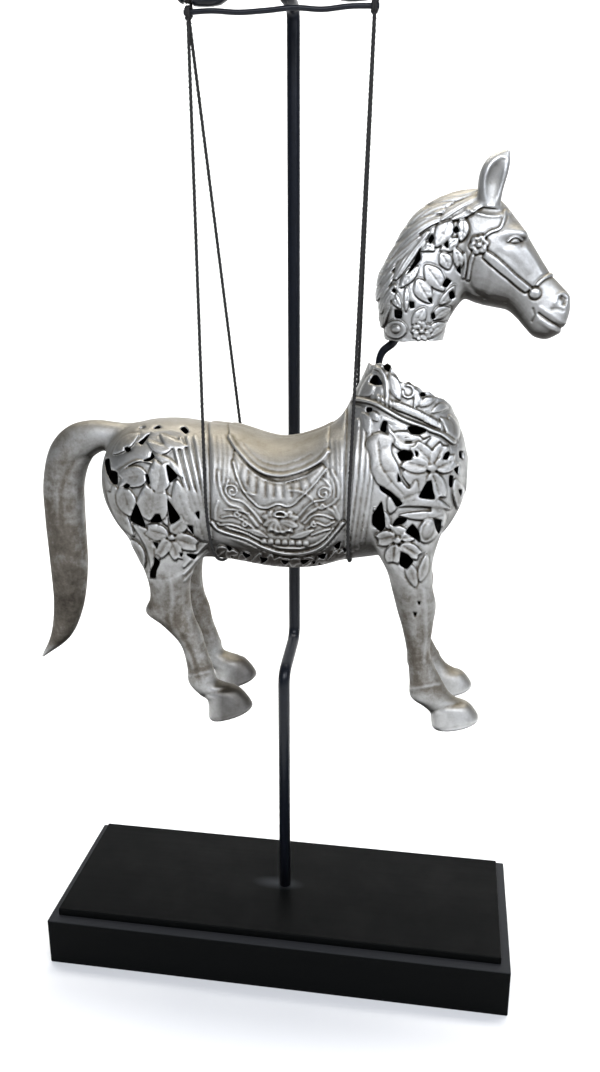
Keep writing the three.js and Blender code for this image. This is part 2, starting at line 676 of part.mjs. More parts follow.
function hitchRing(x, height, radius) {
  const geometry = new THREE.TorusGeometry(radius + SEAT_GAP * 3 + cordRadius, cordRadius, 6, 12);
  geometry.rotateY(Math.PI / 2);
  geometry.translate(x, 0, height);
  return solid(geometry);
}

function buildSling(sling) {
  const x = sling.hitch * hitchX;
  const onGrip = hitchRing(x, HANGER_HEIGHT, rodRadius);
  return union([
    hitchRing(x, spreaderHeight, SPREADER_DIAMETER / 2),
    sweep(slingPath(sling), cordRadius, 6),
    onGrip,
  ]);
}

const sculpture = new THREE.Group();

function addPiece(name, manifold, material, height = 0) {
  const mesh = new THREE.Mesh(geometryOf(manifold), material());
  mesh.name = name;
  mesh.position.z = height;
  sculpture.add(mesh);
}

addPiece('base_block', buildBlock(), materials.wood);
addPiece('base_top_panel', buildPanel(), materials.wood, BLOCK_HEIGHT + SEAT_GAP);
addPiece('stand_rod', buildRod(), materials.iron);
addPiece('hanger_bar', buildHanger(), materials.iron, HANGER_HEIGHT);
addPiece('spreader_bar', buildSpreader(), materials.iron, spreaderHeight);
addPiece('horse_body', buildBody(), materials.metal);
addPiece('horse_head', buildHead(), materials.metal);
addPiece('neck_link', buildLink(), materials.iron);
addPiece('rear_sling', buildSling(REAR_SLING), materials.cord);
addPiece('front_sling', buildSling(FRONT_SLING), materials.cord);

export default sculpture;
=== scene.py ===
# %% [markdown]
# # A pierced metal horse, hung from its stand
#
# The object is a small horse cast in aluminium. Its haunches, shoulders and neck are open leaf work, with
# gaps right through the 3 mm wall, and a carved saddle lies over its back. Two black cord slings carry it
# from a cranked rod on a stepped black plinth. This script dresses the CAD part: it keeps the part's frame
# and sizes, and gives each piece its real surface.

import math

import bmesh
import bpy
import numpy as np
import openvdb
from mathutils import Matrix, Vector


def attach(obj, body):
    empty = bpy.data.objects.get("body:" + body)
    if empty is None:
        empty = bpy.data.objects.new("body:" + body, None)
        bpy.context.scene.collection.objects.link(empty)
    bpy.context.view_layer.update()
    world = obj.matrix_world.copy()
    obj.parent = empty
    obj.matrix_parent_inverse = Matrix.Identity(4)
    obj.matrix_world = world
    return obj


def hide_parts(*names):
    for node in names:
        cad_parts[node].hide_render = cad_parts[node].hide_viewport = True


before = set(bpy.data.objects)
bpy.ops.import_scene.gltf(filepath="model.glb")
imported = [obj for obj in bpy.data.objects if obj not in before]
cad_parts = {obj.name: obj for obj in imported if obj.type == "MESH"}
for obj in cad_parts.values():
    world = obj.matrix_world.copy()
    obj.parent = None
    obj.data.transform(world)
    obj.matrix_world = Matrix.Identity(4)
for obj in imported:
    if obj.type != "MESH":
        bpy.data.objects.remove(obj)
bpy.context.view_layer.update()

# %% [markdown]
# ## Small helpers
#
# The horse is drawn in millimetres, as the part is, and Blender works in metres. One function turns points
# and faces in millimetres into a Blender mesh, and one more adds a shader or geometry node with its
# settings and its links. Colours are written as sRGB hex values, and turned to linear light in one place.

# %% Meshes, colours and nodes
MM = 0.001


def linear(hex_colour):
    """An sRGB hex colour as linear RGBA."""
    values = [int(hex_colour[i : i + 2], 16) / 255 for i in (1, 3, 5)]
    return [v / 12.92 if v <= 0.04045 else ((v + 0.055) / 1.055) ** 2.4 for v in values] + [1.0]


def add(tree, kind, inputs=None, **settings):
    """A node in a tree, with its settings or colour stops, and with values or sockets in its inputs."""
    made = tree.nodes.new(kind)
    stops = settings.pop("stops", [])
    for name, value in settings.items():
        setattr(made, name, value)
    while stops and len(made.color_ramp.elements) < len(stops):
        made.color_ramp.elements.new(0.5)
    for n, (at, colour) in enumerate(stops):
        made.color_ramp.elements[n].position = at
        made.color_ramp.elements[n].color = linear(colour)
    for name, value in (inputs or {}).items():
        if isinstance(value, bpy.types.NodeSocket):
            tree.links.new(value, made.inputs[name])
        else:
            made.inputs[name].default_value = value
    return made


def mesh_object(name, points, faces, material):
    """A mesh piece from points in millimetres, finished and standing at the origin."""
    data = bpy.data.meshes.new(name)
    data.from_pydata((np.asarray(points, float) * MM).tolist(), [], [list(map(int, f)) for f in faces])
    data.polygons.foreach_set("use_smooth", [True] * len(data.polygons))
    data.materials.append(material)
    data.update()
    made = bpy.data.objects.new(name, data)
    bpy.context.scene.collection.objects.link(made)
    return made


def ease(value, low, high):
    """A smooth step from 0 at low to 1 at high."""
    t = np.clip((value - low) / (high - low), 0, 1)
    return t * t * (3 - 2 * t)


def curve(points, steps=6, closed=False):
    """A smooth line through drawn points, also where they stand unevenly."""
    drawn = np.array(points, float)
    if closed:
        padded = np.vstack([drawn[-1:], drawn, drawn[:2]])
    else:
        padded = np.vstack([2 * drawn[0] - drawn[1], drawn, 2 * drawn[-1] - drawn[-2]])
    made = []
    for i in range(len(padded) - 3):
        a, b, c, d = padded[i : i + 4]
        ab, bc, cd = (np.linalg.norm(q - p) ** 0.5 + 1e-6 for p, q in ((a, b), (b, c), (c, d)))
        leave = bc * ((b - a) / ab - (c - a) / (ab + bc) + (c - b) / bc)
        arrive = bc * ((c - b) / bc - (d - b) / (bc + cd) + (d - c) / cd)
        for t in np.arange(steps) / steps:
            made.append(
                (2 * t**3 - 3 * t**2 + 1) * b
                + (t**3 - 2 * t**2 + t) * leave
                + (3 * t**2 - 2 * t**3) * c
                + (t**3 - t**2) * arrive
            )
    return np.array(made if closed else [*made, drawn[-1]])


print("helpers ready")

# %% [markdown]
# ## Cast aluminium, polished by hand
#
# The horse is aluminium from a sand mould, brushed bright where a hand reaches and left grey and brown in
# the hollows. The eye reads that as bright ridges in dark gaps. So the mesh carries two attributes: `worn`
# is high on ridges and low in grooves, and the other is high inside the shell. The material only reads them.
# It also paints shade: near black inside the shell, dark brown on faces that look down and on the openwork
# under the saddle cloth, and a dim warm tint of the light from above on faces that look up.
# Aluminium is a full metal, and its roughness varies from about 0.45 on worn ridges to 0.75 in the hollows.

# %% Cast metal
def material(name):
    """An empty node material with its Principled shader."""
    made = bpy.data.materials.new(name)
    made.use_nodes = True
    return made, made.node_tree, made.node_tree.nodes["Principled BSDF"]


cast_metal, tree, shader = material("cast_aluminium_hand_polished")
place = add(tree, "ShaderNodeTexCoord").outputs["Object"]
worn = add(tree, "ShaderNodeAttribute", attribute_name="worn").outputs["Fac"]
inner = add(tree, "ShaderNodeAttribute", attribute_name="inner").outputs["Fac"]
# cloudy tarnish about 14 mm across, and casting grain about 1.2 mm across
clouds = add(tree, "ShaderNodeTexNoise", {"Vector": place, "Scale": 70.0, "Detail": 4.0, "Roughness": 0.6})
grain = add(tree, "ShaderNodeTexNoise", {"Vector": place, "Scale": 850.0, "Detail": 2.0, "Roughness": 0.6})
# and stains about 4 mm across in between
stains = add(tree, "ShaderNodeTexNoise", {"Vector": place, "Scale": 260.0, "Detail": 5.0, "Roughness": 0.7})
rubbed = worn
for patches, strength in ((clouds, 0.4), (stains, 0.27)):
    push = add(tree, "ShaderNodeMath", {0: patches.outputs["Fac"], 1: -0.5}, operation="ADD").outputs[0]
    more = {0: push, 1: strength, 2: rubbed}
    rubbed = add(tree, "ShaderNodeMath", more, operation="MULTIPLY_ADD").outputs[0]
# the metal is made lighter towards the head and darker down the legs
where = add(tree, "ShaderNodeSeparateXYZ", {0: place})
level = where.outputs["Z"]
lighter_higher_up = add(
    tree,
    "ShaderNodeMapRange",
    {"Value": level, "From Min": 0.3, "From Max": 0.5, "To Min": -0.14, "To Max": 0.09},
)
# the hooves are bright again, and the tail's end is the dullest place of all
hooves = add(
    tree, "ShaderNodeMapRange", {"Value": level, "From Min": 0.266, "From Max": 0.246, "To Max": 0.2}
)
tail_end = add(
    tree,
    "ShaderNodeMapRange",
    {"Value": where.outputs["X"], "From Min": -0.145, "From Max": -0.17, "To Max": -0.12},
)
spread = tail_end.outputs["Result"]
for more in (hooves.outputs["Result"], lighter_higher_up.outputs["Result"], rubbed):
    spread = add(tree, "ShaderNodeMath", {0: more, 1: spread}, operation="ADD").outputs[0]
tone = add(
    tree,
    "ShaderNodeValToRGB",
    {"Fac": spread},
    stops=[(0.12, "#332e27"), (0.34, "#79736a"), (0.47, "#a5a4a0"), (0.62, "#c0c0be"), (0.88, "#dedfde")],
).outputs["Color"]
# painted shade: faces that look down are turned dark brown
facing = add(tree, "ShaderNodeSeparateXYZ", {0: add(tree, "ShaderNodeNewGeometry").outputs["Normal"]})
under = add(
    tree,
    "ShaderNodeMapRange",
    {"Value": facing.outputs["Z"], "From Min": 0.08, "From Max": -0.55, "To Max": 0.95},
)
# painted light: faces that look up are toned a dim warm olive, for the warm light they reflect from above
above = add(
    tree,
    "ShaderNodeMapRange",
    {"Value": facing.outputs["Z"], "From Min": 0.2, "From Max": 0.85, "To Max": 0.78},
)
# painted shade: the openwork low under the saddle cloth is turned nearly as dark brown as the undersides
low_down = add(
    tree, "ShaderNodeMapRange", {"Value": level, "From Min": 0.372, "From Max": 0.356, "To Max": 0.72}
)
from_middle = add(tree, "ShaderNodeMath", {0: where.outputs["X"], 1: -0.004}, operation="ADD").outputs[0]
beside = add(tree, "ShaderNodeMath", {0: from_middle}, operation="ABSOLUTE").outputs[0]
under_cloth = add(
    tree, "ShaderNodeMapRange", {"Value": beside, "From Min": 0.058, "From Max": 0.046, "To Max": 1.0}
)
painted_belly_shade = add(
    tree,
    "ShaderNodeMath",
    {0: low_down.outputs["Result"], 1: under_cloth.outputs["Result"]},
    operation="MULTIPLY",
).outputs[0]
# each of these painted shades and tints is laid over the last, and the painted shade inside the shell is
# darkest
metal_tone = tone
for amount, colour in (
    (under.outputs["Result"], "#1f1b16"), (above.outputs["Result"], "#665e4c"),
    (painted_belly_shade, "#2c251d"), (inner, "#12100d"),
):
    laid = add(tree, "ShaderNodeMix", {0: amount, 6: metal_tone, 7: linear(colour)}, data_type="RGBA")
    metal_tone = laid.outputs[2]
rough = add(
    tree,
    "ShaderNodeMapRange",
    {"Value": spread, "From Min": 0.2, "From Max": 0.75, "To Min": 0.74, "To Max": 0.44},
).outputs["Result"]
bump = add(
    tree,
    "ShaderNodeBump",
    {"Height": grain.outputs["Fac"], "Strength": 0.5, "Distance": 0.0004},
)
tree.links.new(metal_tone, shader.inputs["Base Color"])
tree.links.new(rough, shader.inputs["Roughness"])
tree.links.new(bump.outputs["Normal"], shader.inputs["Normal"])
shader.inputs["Metallic"].default_value = 1.0
print("made", cast_metal.name)

# %% [markdown]
# ## Black wood, black iron and black cord
#
# The plinth is wood under satin black paint, with dust and rubbing along its upper faces. The rod and bars
# are iron under satin black paint. The cord is dull twisted cotton, so it gets fuzz and no shine.

# %% Paint and cord
plinth_wood, tree, shader = material("wood_painted_satin_black")
place = add(tree, "ShaderNodeTexCoord").outputs["Object"]
# brush drag along the plinth about 4 mm wide, and dust in patches about 40 mm across
drag = add(tree, "ShaderNodeMapping", {"Vector": place, "Scale": (0.06, 1.0, 1.0)})
strokes = add(tree, "ShaderNodeTexNoise", {"Vector": drag.outputs[0], "Scale": 260.0, "Detail": 3.0})
dust = add(tree, "ShaderNodeTexNoise", {"Vector": place, "Scale": 26.0, "Detail": 6.0, "Roughness": 0.65})
facing = add(
    tree, "ShaderNodeSeparateXYZ", {"Vector": add(tree, "ShaderNodeNewGeometry").outputs["Normal"]}
)
settled = add(
    tree,
    "ShaderNodeMapRange",
    {"Value": dust.outputs["Fac"], "From Min": 0.42, "From Max": 0.78, "To Max": 0.3},
)
# the ledge round the panel is greyed by dust, and fingers have smudged the paint by the rod's foot
height = add(tree, "ShaderNodeSeparateXYZ", {0: place}).outputs["Z"]
ledge = add(
    tree, "ShaderNodeMapRange", {"Value": height, "From Min": 0.0423, "From Max": 0.0421, "To Max": 0.6}
)
dusted = []
for dusty in (settled, ledge):
    lying = {0: dusty.outputs["Result"], 1: facing.outputs["Z"]}
    dusted.append(add(tree, "ShaderNodeMath", lying, operation="MULTIPLY", use_clamp=True).outputs[0])
stretch = add(
    tree, "ShaderNodeMapping", {"Vector": place, "Location": (0.003, 0.0, 0.0), "Scale": (0.5, 1.3, 0.0)}
)
from_foot = add(tree, "ShaderNodeVectorMath", {0: stretch.outputs[0]}, operation="LENGTH").outputs["Value"]
smudge = add(
    tree, "ShaderNodeMapRange", {"Value": from_foot, "From Min": 0.012, "From Max": 0.0, "To Max": 0.3}
)
wood_tone = linear("#070808")
for amount, colour in (
    (dusted[0], "#1e1e1d"), (dusted[1], "#3c3d3f"), (smudge.outputs["Result"], "#55585c"),
):
    laid = add(tree, "ShaderNodeMix", {0: amount, 6: wood_tone, 7: linear(colour)}, data_type="RGBA")
    wood_tone = laid.outputs[2]
tree.links.new(wood_tone, shader.inputs["Base Color"])
wood_rough = add(
    tree,
    "ShaderNodeMapRange",
    {"Value": strokes.outputs["Fac"], "From Min": 0.3, "From Max": 0.7, "To Min": 0.36, "To Max": 0.5},
)
tree.links.new(wood_rough.outputs["Result"], shader.inputs["Roughness"])
wood_bump = add(
    tree, "ShaderNodeBump", {"Height": strokes.outputs["Fac"], "Strength": 0.12, "Distance": 0.0002}
)
tree.links.new(wood_bump.outputs["Normal"], shader.inputs["Normal"])
shader.inputs["Specular IOR Level"].default_value = 0.03

black_iron, tree, shader = material("iron_painted_satin_black")
place = add(tree, "ShaderNodeTexCoord").outputs["Object"]
# the paint's orange peel is about 2 mm across
peel = add(tree, "ShaderNodeTexNoise", {"Vector": place, "Scale": 500.0, "Detail": 2.0})
iron_bump = add(
    tree, "ShaderNodeBump", {"Height": peel.outputs["Fac"], "Strength": 0.15, "Distance": 0.0002}
)
iron_tone = add(
    tree,
    "ShaderNodeMix",
    {0: peel.outputs["Fac"], 6: linear("#0b0d12"), 7: linear("#161a22")},
    data_type="RGBA",
)
tree.links.new(iron_tone.outputs[2], shader.inputs["Base Color"])
tree.links.new(iron_bump.outputs["Normal"], shader.inputs["Normal"])
shader.inputs["Roughness"].default_value = 0.32
shader.inputs["Specular IOR Level"].default_value = 0.22

black_cord, tree, shader = material("cotton_cord_black")
place = add(tree, "ShaderNodeTexCoord").outputs["Object"]
fibre = add(tree, "ShaderNodeTexNoise", {"Vector": place, "Scale": 1500.0, "Detail": 2.0})
cord_tone = add(
    tree,
    "ShaderNodeMix",
    {0: fibre.outputs["Fac"], 6: linear("#141414"), 7: linear("#3a3938")},
    data_type="RGBA",
)
tree.links.new(cord_tone.outputs[2], shader.inputs["Base Color"])
shader.inputs["Roughness"].default_value = 0.92
shader.inputs["Specular IOR Level"].default_value = 0.2
print("made", plinth_wood.name, black_iron.name, black_cord.name)

# %% [markdown]
# ## A carver's drawing
#
# Each leaf, petal, strap and gap is drawn in a plane beside the horse, the plane y = -40 as it is seen from
# a viewer who stands before the shoulder and a little above it. The drawing holds two maps: how high the
# carving stands in millimetres, and how far it is to the nearest gap. A leaf is stamped with a crisp edge
# and a small gutter around it, so that one leaf lies on top of the next as in real chased work. Modelling
# every leaf as a mesh would leave a hundred seams; a height that is carved into one solid leaves none.

# %% Carving tools
PITCH = 0.35
VIEWER = np.array([122.5, -689.5, 590.5])


def line_distance(x, z, points):
    """How far each place is from a drawn line."""
    nearest = np.full(np.broadcast(x, z).shape, 1e9)
    for (ax, az), (bx, bz) in zip(points[:-1], points[1:]):
        dx, dz = bx - ax, bz - az
        t = np.clip(((x - ax) * dx + (z - az) * dz) / (dx * dx + dz * dz + 1e-9), 0, 1)
        nearest = np.minimum(nearest, (x - ax - t * dx) ** 2 + (z - az - t * dz) ** 2)
    return np.sqrt(nearest)


def outline_distance(x, z, points):
    """How far each place is from a closed outline, below 0 inside it."""
    away = line_distance(x, z, np.vstack([points, points[:1]]))
    crossed = np.zeros(away.shape, bool)
    for (ax, az), (bx, bz) in zip(points, np.roll(points, -1, axis=0)):
        between = (az > z) != (bz > z)
        crossed ^= between & (x < ax + (z - az) * (bx - ax) / (bz - az + 1e-12))
    return np.where(crossed, -away, away)


def leaf_outline(midline, width, tip=0.8, heart=0.0):
    """The closed outline of a leaf along its midline. A heart-shaped one has a notch in its end."""
    middle = curve(midline, 8)
    along = np.gradient(middle, axis=0)
    along /= np.linalg.norm(along, axis=1)[:, None] + 1e-9
    across = np.stack([-along[:, 1], along[:, 0]], 1)
    share = np.linspace(0, 1, len(middle))[:, None]
    half = width / 2 * np.sin(np.pi * (0.02 + 0.96 * share)) ** tip
    if heart:
        half = width / 2 * np.sin(np.pi * (0.03 + 0.8 * share**0.8)) ** 0.75
        end = middle[-1] - along[-1] * heart
        return np.vstack([middle + across * half, end, (middle - across * half)[::-1]])
    return np.vstack([middle + across * half, (middle - across * half)[::-1]])


class Drawing:
    """The carving of one side: its height in mm, and the distance to the nearest gap."""

    def __init__(self, x_range, z_range, plane):
        self.plane = plane
        self.x = np.arange(*x_range, PITCH)
        self.z = np.arange(*z_range, PITCH)
        self.height = np.zeros((len(self.x), len(self.z)), np.float32)
        self.gap = np.full(self.height.shape, 4.0, np.float32)

    def window(self, points, margin):
        """The cells around some points, and where they lie."""
        low, high = points.min(0) - margin, points.max(0) + margin
        across = slice(*np.searchsorted(self.x, (low[0], high[0])))
        up = slice(*np.searchsorted(self.z, (low[1], high[1])))
        return (across, up), self.x[across, None], self.z[None, up]

    def plate(self, outline, rise=1.7, edge=1.0, form="dome", gutter=0.45, reach=None):
        """A raised plate inside a closed outline: domed, cupped or flat, with a gutter cut around it."""
        where, x, z = self.window(outline, 3.0)
        away = outline_distance(x, z, outline)
        depth = np.clip(-away / (reach or max(-away.min(), 0.5)), 0, 1)
        profile = {
            "dome": edge + (rise - edge) * np.sqrt(np.clip(1 - (1 - depth) ** 2, 0, 1)),
            "cup": rise - 0.55 * (rise - edge) * depth**0.8,
            "flat": edge + (rise - edge) * np.clip(depth * 3, 0, 1),
        }[form]
        self.height[where] -= gutter * np.exp(-(((away - 0.6) / 0.6) ** 2)) * (away > -0.6)
        inside = ease(-away, -0.35, 0.35)
        self.height[where] += (profile - self.height[where]) * inside

    def leaf(self, midline, width, rise=1.7, form="dome", tip=0.8, heart=0.0, veins=0, rib=0.25, edge=0.8):
        """A leaf or petal with a midrib and side veins."""
        self.plate(leaf_outline(midline, width, tip, heart), rise, edge, form)
        middle = curve(midline, 6)
        if rib:
            self.stroke(middle[1 : -1 - (len(middle) // 8)], 0.55, -rib)
        for side in (-1, 1):
            for n in range(veins):
                i = 1 + int((n + 0.6) / (veins + 0.6) * (len(middle) - 2))
                along = middle[i] - middle[i - 1]
                along /= np.linalg.norm(along) + 1e-9
                across = np.array([-along[1], along[0]]) * side
                reach = 0.36 * width * math.sin(math.pi * (0.1 + 0.75 * i / len(middle)))
                self.stroke(np.array([middle[i], middle[i] + reach * (across + 0.8 * along)]), 0.45, -0.16)

    def stroke(self, points, half_width, rise, smooth=0):
        """A ridge, or with a rise below 0 a groove, along a drawn line."""
        line = curve(points, smooth) if smooth else np.array(points, float)
        where, x, z = self.window(line, half_width * 3)
        away = line_distance(x, z, line)
        self.height[where] += rise * np.exp(-((away / half_width) ** 2) * 0.9)

    def rail(self, points, half_width, rise, smooth=6, gutter=0.6):
        """A round strap or rim that lies on the carving under it."""
        line = curve(points, smooth) if smooth else np.array(points, float)
        where, x, z = self.window(line, half_width + 3)
        away = line_distance(x, z, line)
        self.height[where] -= gutter * np.exp(-(((away - half_width - 0.4) / 0.6) ** 2))
        crown = rise * np.sqrt(np.clip(1 - (away / half_width) ** 2, 0, 1))
        inside = ease(half_width - away, -0.2, 0.5)
        self.height[where] += (np.maximum(crown, self.height[where]) - self.height[where]) * inside

    def ground(self, outline, depth):
        """The sunk ground between leaves, with a soft edge."""
        where, x, z = self.window(outline, 3.0)
        away = outline_distance(x, z, outline)
        self.height[where] += depth * ease(-away, -1.5, 2.5)

    def pierce(self, outline, smooth=4):
        """A gap right through the wall."""
        corners = np.array(outline, float)
        share = (np.arange(smooth) / smooth)[None, :, None]
        straight = corners[:, None] + (np.roll(corners, -1, axis=0) - corners)[:, None] * share
        line = 0.3 * curve(outline, smooth, closed=True) + 0.7 * straight.reshape(-1, 2)
        where, x, z = self.window(line, 4.0)
        away = outline_distance(x, z, line)
        self.gap[where] = np.minimum(self.gap[where], away)
        self.height[where] -= 0.5 * ease(-away, -1.2, 0.2)

    def at(self, what, x, z):
        """The drawing's value at places beside the horse, blended between its cells."""
        column = np.clip((x - self.x[0]) / PITCH, 0, len(self.x) - 1.001)
        row = np.clip((z - self.z[0]) / PITCH, 0, len(self.z) - 1.001)
        i, k = column.astype(np.int32), row.astype(np.int32)
        u, w = (column - i).astype(np.float32), (row - k).astype(np.float32)
        return (
            what[i, k] * (1 - u) * (1 - w)
            + what[i + 1, k] * u * (1 - w)
            + what[i, k + 1] * (1 - u) * w
            + what[i + 1, k + 1] * u * w
        )


def on_drawing(points, plane):
    """Where the viewer sees points of the near side, or of the far side in a mirror, on the drawing plane."""
    depth = -np.abs(points[:, 1])
    share = (plane - VIEWER[1]) / (depth - VIEWER[1])
    x = VIEWER[0] + (points[:, 0] - VIEWER[0]) * share
    z = VIEWER[2] + (points[:, 2] - VIEWER[2]) * share
    return x, z


body_drawing = Drawing((-216, 166), (210, 512), -40.0)
print("drawing of", body_drawing.height.shape, "cells")

# %% [markdown]
# ## The haunch: leaves and heart-shaped petals over a dark ground
#
# On the real casting the haunch is a net of leaves with gaps between them. The ground is sunk first, then
# the leaves are stamped from back to front, and the gaps are pierced last.

# %% Haunch
haunch = body_drawing
haunch.ground(
    curve([(-128, 428), (-112, 446), (-90, 452), (-62, 452), (-52, 430), (-50, 395), (-50, 362), (-62, 352),
           (-84, 341), (-98, 345), (-106, 366), (-122, 392)], 6, True), -1.0)
haunch.leaf([(-124, 408), (-119, 400), (-113, 386), (-106, 374)], 10, veins=3)
haunch.leaf([(-119, 413), (-117, 400), (-111, 390)], 10, rise=1.5)
haunch.leaf([(-113, 414), (-110, 401), (-106, 389)], 15, rise=1.9, form="cup", veins=2)
haunch.leaf([(-106, 384), (-98, 377), (-91.5, 368), (-90.5, 358.5), (-93, 348)], 12, veins=4, rise=1.8)
haunch.leaf([(-108, 372), (-103, 362), (-99, 350)], 9, rise=1.5)
haunch.leaf([(-70, 448), (-82, 441), (-92, 447)], 8, rise=1.3)
haunch.leaf([(-98, 452), (-108, 445), (-118, 436)], 9, rise=1.5, veins=2)
haunch.leaf([(-82, 452), (-74, 446), (-62, 444)], 8, rise=1.4)
haunch.leaf([(-89, 437.5), (-80, 433), (-73, 428), (-67, 421)], 7.5, rise=1.7, rib=0.5)
haunch.leaf([(-79, 408), (-76, 398), (-77, 388)], 9, rise=1.4)
haunch.leaf([(-84.5, 397), (-82, 390), (-79, 383)], 5.5, rise=1.3)
haunch.leaf([(-94, 387), (-91, 396), (-87.5, 414)], 24, rise=2.2, form="cup", heart=5.0, veins=3, edge=1.1)
haunch.leaf([(-86, 409), (-84.5, 418), (-82, 433)], 17, rise=2.1, form="cup", heart=3.0, veins=2, edge=1.0)
haunch.leaf([(-93, 421), (-102, 420), (-116, 417)], 16, rise=2.2, form="cup", heart=3.5, veins=3, edge=1.0)
haunch.leaf([(-71, 419), (-69.5, 408), (-67, 399), (-61.5, 386), (-53, 373)], 15, rise=1.9, veins=5)
haunch.leaf([(-60, 416), (-58, 402), (-54, 388)], 8, rise=1.3)
haunch.rail([(-116, 423), (-108, 428), (-99.5, 432), (-90, 431)], 1.1, 1.4)
for centre, tip_end, width in [
    ((-79, 376), (-96, 380), 13), ((-77, 378), (-66, 389), 12.5), ((-75, 374), (-57, 369), 13),
    ((-77, 372), (-72, 357), 10), ((-79, 373), (-88, 359), 10),
]:
    haunch.leaf([centre, tip_end], width, rise=1.9, form="cup", heart=1.6, rib=0.4, edge=1.1, tip=0.55)
haunch.plate(curve([(-80, 374.5), (-77, 377.4), (-74, 374.5), (-77, 371.6)], 5, True), 2.8, 1.6)
for lift in (0, 5.5, 11):
    haunch.stroke([(-50, 371 - lift), (-59, 362 - lift), (-68, 352 - lift)], 1.0, 1.0, 5)
for outline in [
    [(-125, 431), (-121, 433), (-120.4, 424), (-115.5, 423), (-116, 413.5), (-120, 414), (-123.8, 422)],
    [(-94.6, 422), (-92.4, 422), (-91, 415), (-93, 414.6)],
    [(-98, 431.5), (-90, 434.6), (-88.6, 438.4), (-86.4, 435.4), (-91, 432)],
    [(-78.4, 430.6), (-70, 422), (-76.6, 416.4)], [(-102.4, 400), (-96, 381), (-108, 386.6)],
    [(-93, 385.6), (-88, 392), (-85, 392.2), (-83.4, 386.6)], [(-79, 404), (-69.4, 390), (-77, 384.6)],
    [(-64.6, 384.6), (-60.4, 384), (-59.6, 377)], [(-91.4, 370.4), (-87, 369.6), (-88.4, 365.4)],
    [(-66.6, 362.4), (-57.6, 362), (-60, 358.4)],
    [(-90.6, 358.8), (-86.6, 355), (-89.4, 348), (-90.6, 342), (-95, 342), (-94, 347.5), (-91.6, 352)],
    [(-109.5, 440.6), (-107, 442), (-104, 440), (-107, 438)],
    [(-98.6, 445.4), (-94, 448.6), (-89, 452.6), (-92, 448), (-96, 443.6)],
    [(-67, 456.4), (-64, 458), (-60.6, 454.6), (-63, 452.6)],
    [(-71.4, 362.6), (-68.6, 362.6), (-70, 359.4)],
    [(-112, 412), (-109, 414.6), (-106, 413), (-109.6, 410.6)], [(-58, 394), (-55, 396), (-55, 389)],
]:
    haunch.pierce(outline)
for outline in [[(-98, 455), (-95, 457.6), (-92.6, 456.2)], [(-87, 455.4), (-83.4, 458.2), (-80.6, 456.6)]]:
    haunch.pierce(outline, smooth=3)
print("haunch rises to", round(float(haunch.height.max()), 2), "mm")

# %% [markdown]
# ## The saddle and its cloth
#
# The seat is a smooth crescent with a raised rim. Under it lie a plain band, a fluted band whose lower edge
# swings in scallops, and a cloth carved with scrolls around an open lotus. Scrolls are rails along spirals,
# and the flutes and flow lines are strokes, because the real ones were cut with one pass of a tool.

# %% Saddle
saddle = body_drawing


def spiral(centre, start, turn, turns, steps=26, end=0.8):
    """A scroll that winds in to its centre from a start radius and angle."""
    share = np.linspace(0, 1, steps)
    angle = np.radians(turn) + share * turns * 2 * np.pi
    radius = start * (1 - share) + end * share
    return np.stack([centre[0] + radius * np.cos(angle), centre[1] + radius * np.sin(angle)], 1)


CLOTH_HEM = [(-46, 388), (-41.6, 382.6), (-31, 379), (-20, 376), (-7.6, 370.2), (5, 366.6), (18.3, 366.5),
             (29.4, 369.6), (37, 374.6), (44, 383), (50.8, 392)]
cloth = np.vstack([curve(CLOTH_HEM, 5), [(52, 480), (-46, 480)]])
saddle.plate(cloth, 1.5, 0.9, "flat", gutter=0.9, reach=6)
saddle.rail(CLOTH_HEM, 1.5, 2.3)
saddle.rail([(x, z + 4.4) for x, z in CLOTH_HEM[1:-1]], 0.8, 2.0)
for x, lean in ((-43, 2), (-39, 3), (-35.5, 5), (-32, 7)):
    saddle.stroke([(x, 452), (x + 0.6, 436), (x - lean * 0.2, 418)], 1.1, 0.45, 4)
for x, lean in ((38, 5), (42, 4), (46, 3), (49, 2)):
    saddle.stroke([(x - 1, 452), (x, 436), (x + lean * 0.4, 410)], 1.1, 0.45, 4)
FLUTED_HEM = [(-29, 434), (-26, 422.6), (-20.6, 411), (-15, 404.8), (-10.6, 401), (-4.7, 400.4), (0, 402.6),
              (4.2, 403.7), (10, 402.2), (14.6, 404), (19, 408.5), (22.7, 412), (30, 420), (38, 431)]
BAND_LOW = [(-27, 442.5), (-18.7, 432), (-10.6, 425.5), (0, 420.7), (7, 419.6), (14.6, 420.7), (22, 424),
            (29.4, 430.7), (36, 434)]
SEAT_RIM = [(-31, 452), (-27.6, 446), (-22.4, 439.6), (-15, 432), (-7.6, 427.4), (0, 425.5), (7.2, 425.5),
            (14.6, 427.4), (22, 430.3), (29.4, 434.4), (35, 438.6), (39, 444)]
saddle.plate(np.vstack([curve(FLUTED_HEM, 5), curve(BAND_LOW[::-1], 5)]), 2.6, 1.7, "dome", 1.0, reach=6)
for top, low in [
    ((-23, 433), (-24.6, 421.6)), ((-17.6, 428), (-19.4, 412.4)), ((-11.6, 423.6), (-13.2, 406)),
    ((-5.4, 420.6), (-5.8, 403.4)), ((0.6, 418.8), (0.8, 405)), ((6.4, 418), (7.4, 405.4)),
    ((12.6, 418.6), (14.2, 406)), ((18.6, 420.6), (21.4, 412)), ((24, 423.6), (27.4, 417)),
]:
    cut = (0.35 * top[0] + 0.65 * low[0], 0.35 * top[1] + 0.65 * low[1])
    saddle.stroke([top, cut], 1.1, -0.55)
    saddle.stroke([(top[0] + 2.9, top[1] - 3), (low[0] + 3.1, low[1] + 2)], 2.0, 0.3)
saddle.rail(FLUTED_HEM, 1.1, 2.5, gutter=0.6)
seat = np.vstack([curve(SEAT_RIM, 6), [(41, 480), (-33, 480)]])
saddle.plate(seat, 2.2, 1.5, "cup", 0.3, reach=26)
saddle.rail(SEAT_RIM, 2.1, 3.1, gutter=0.45)
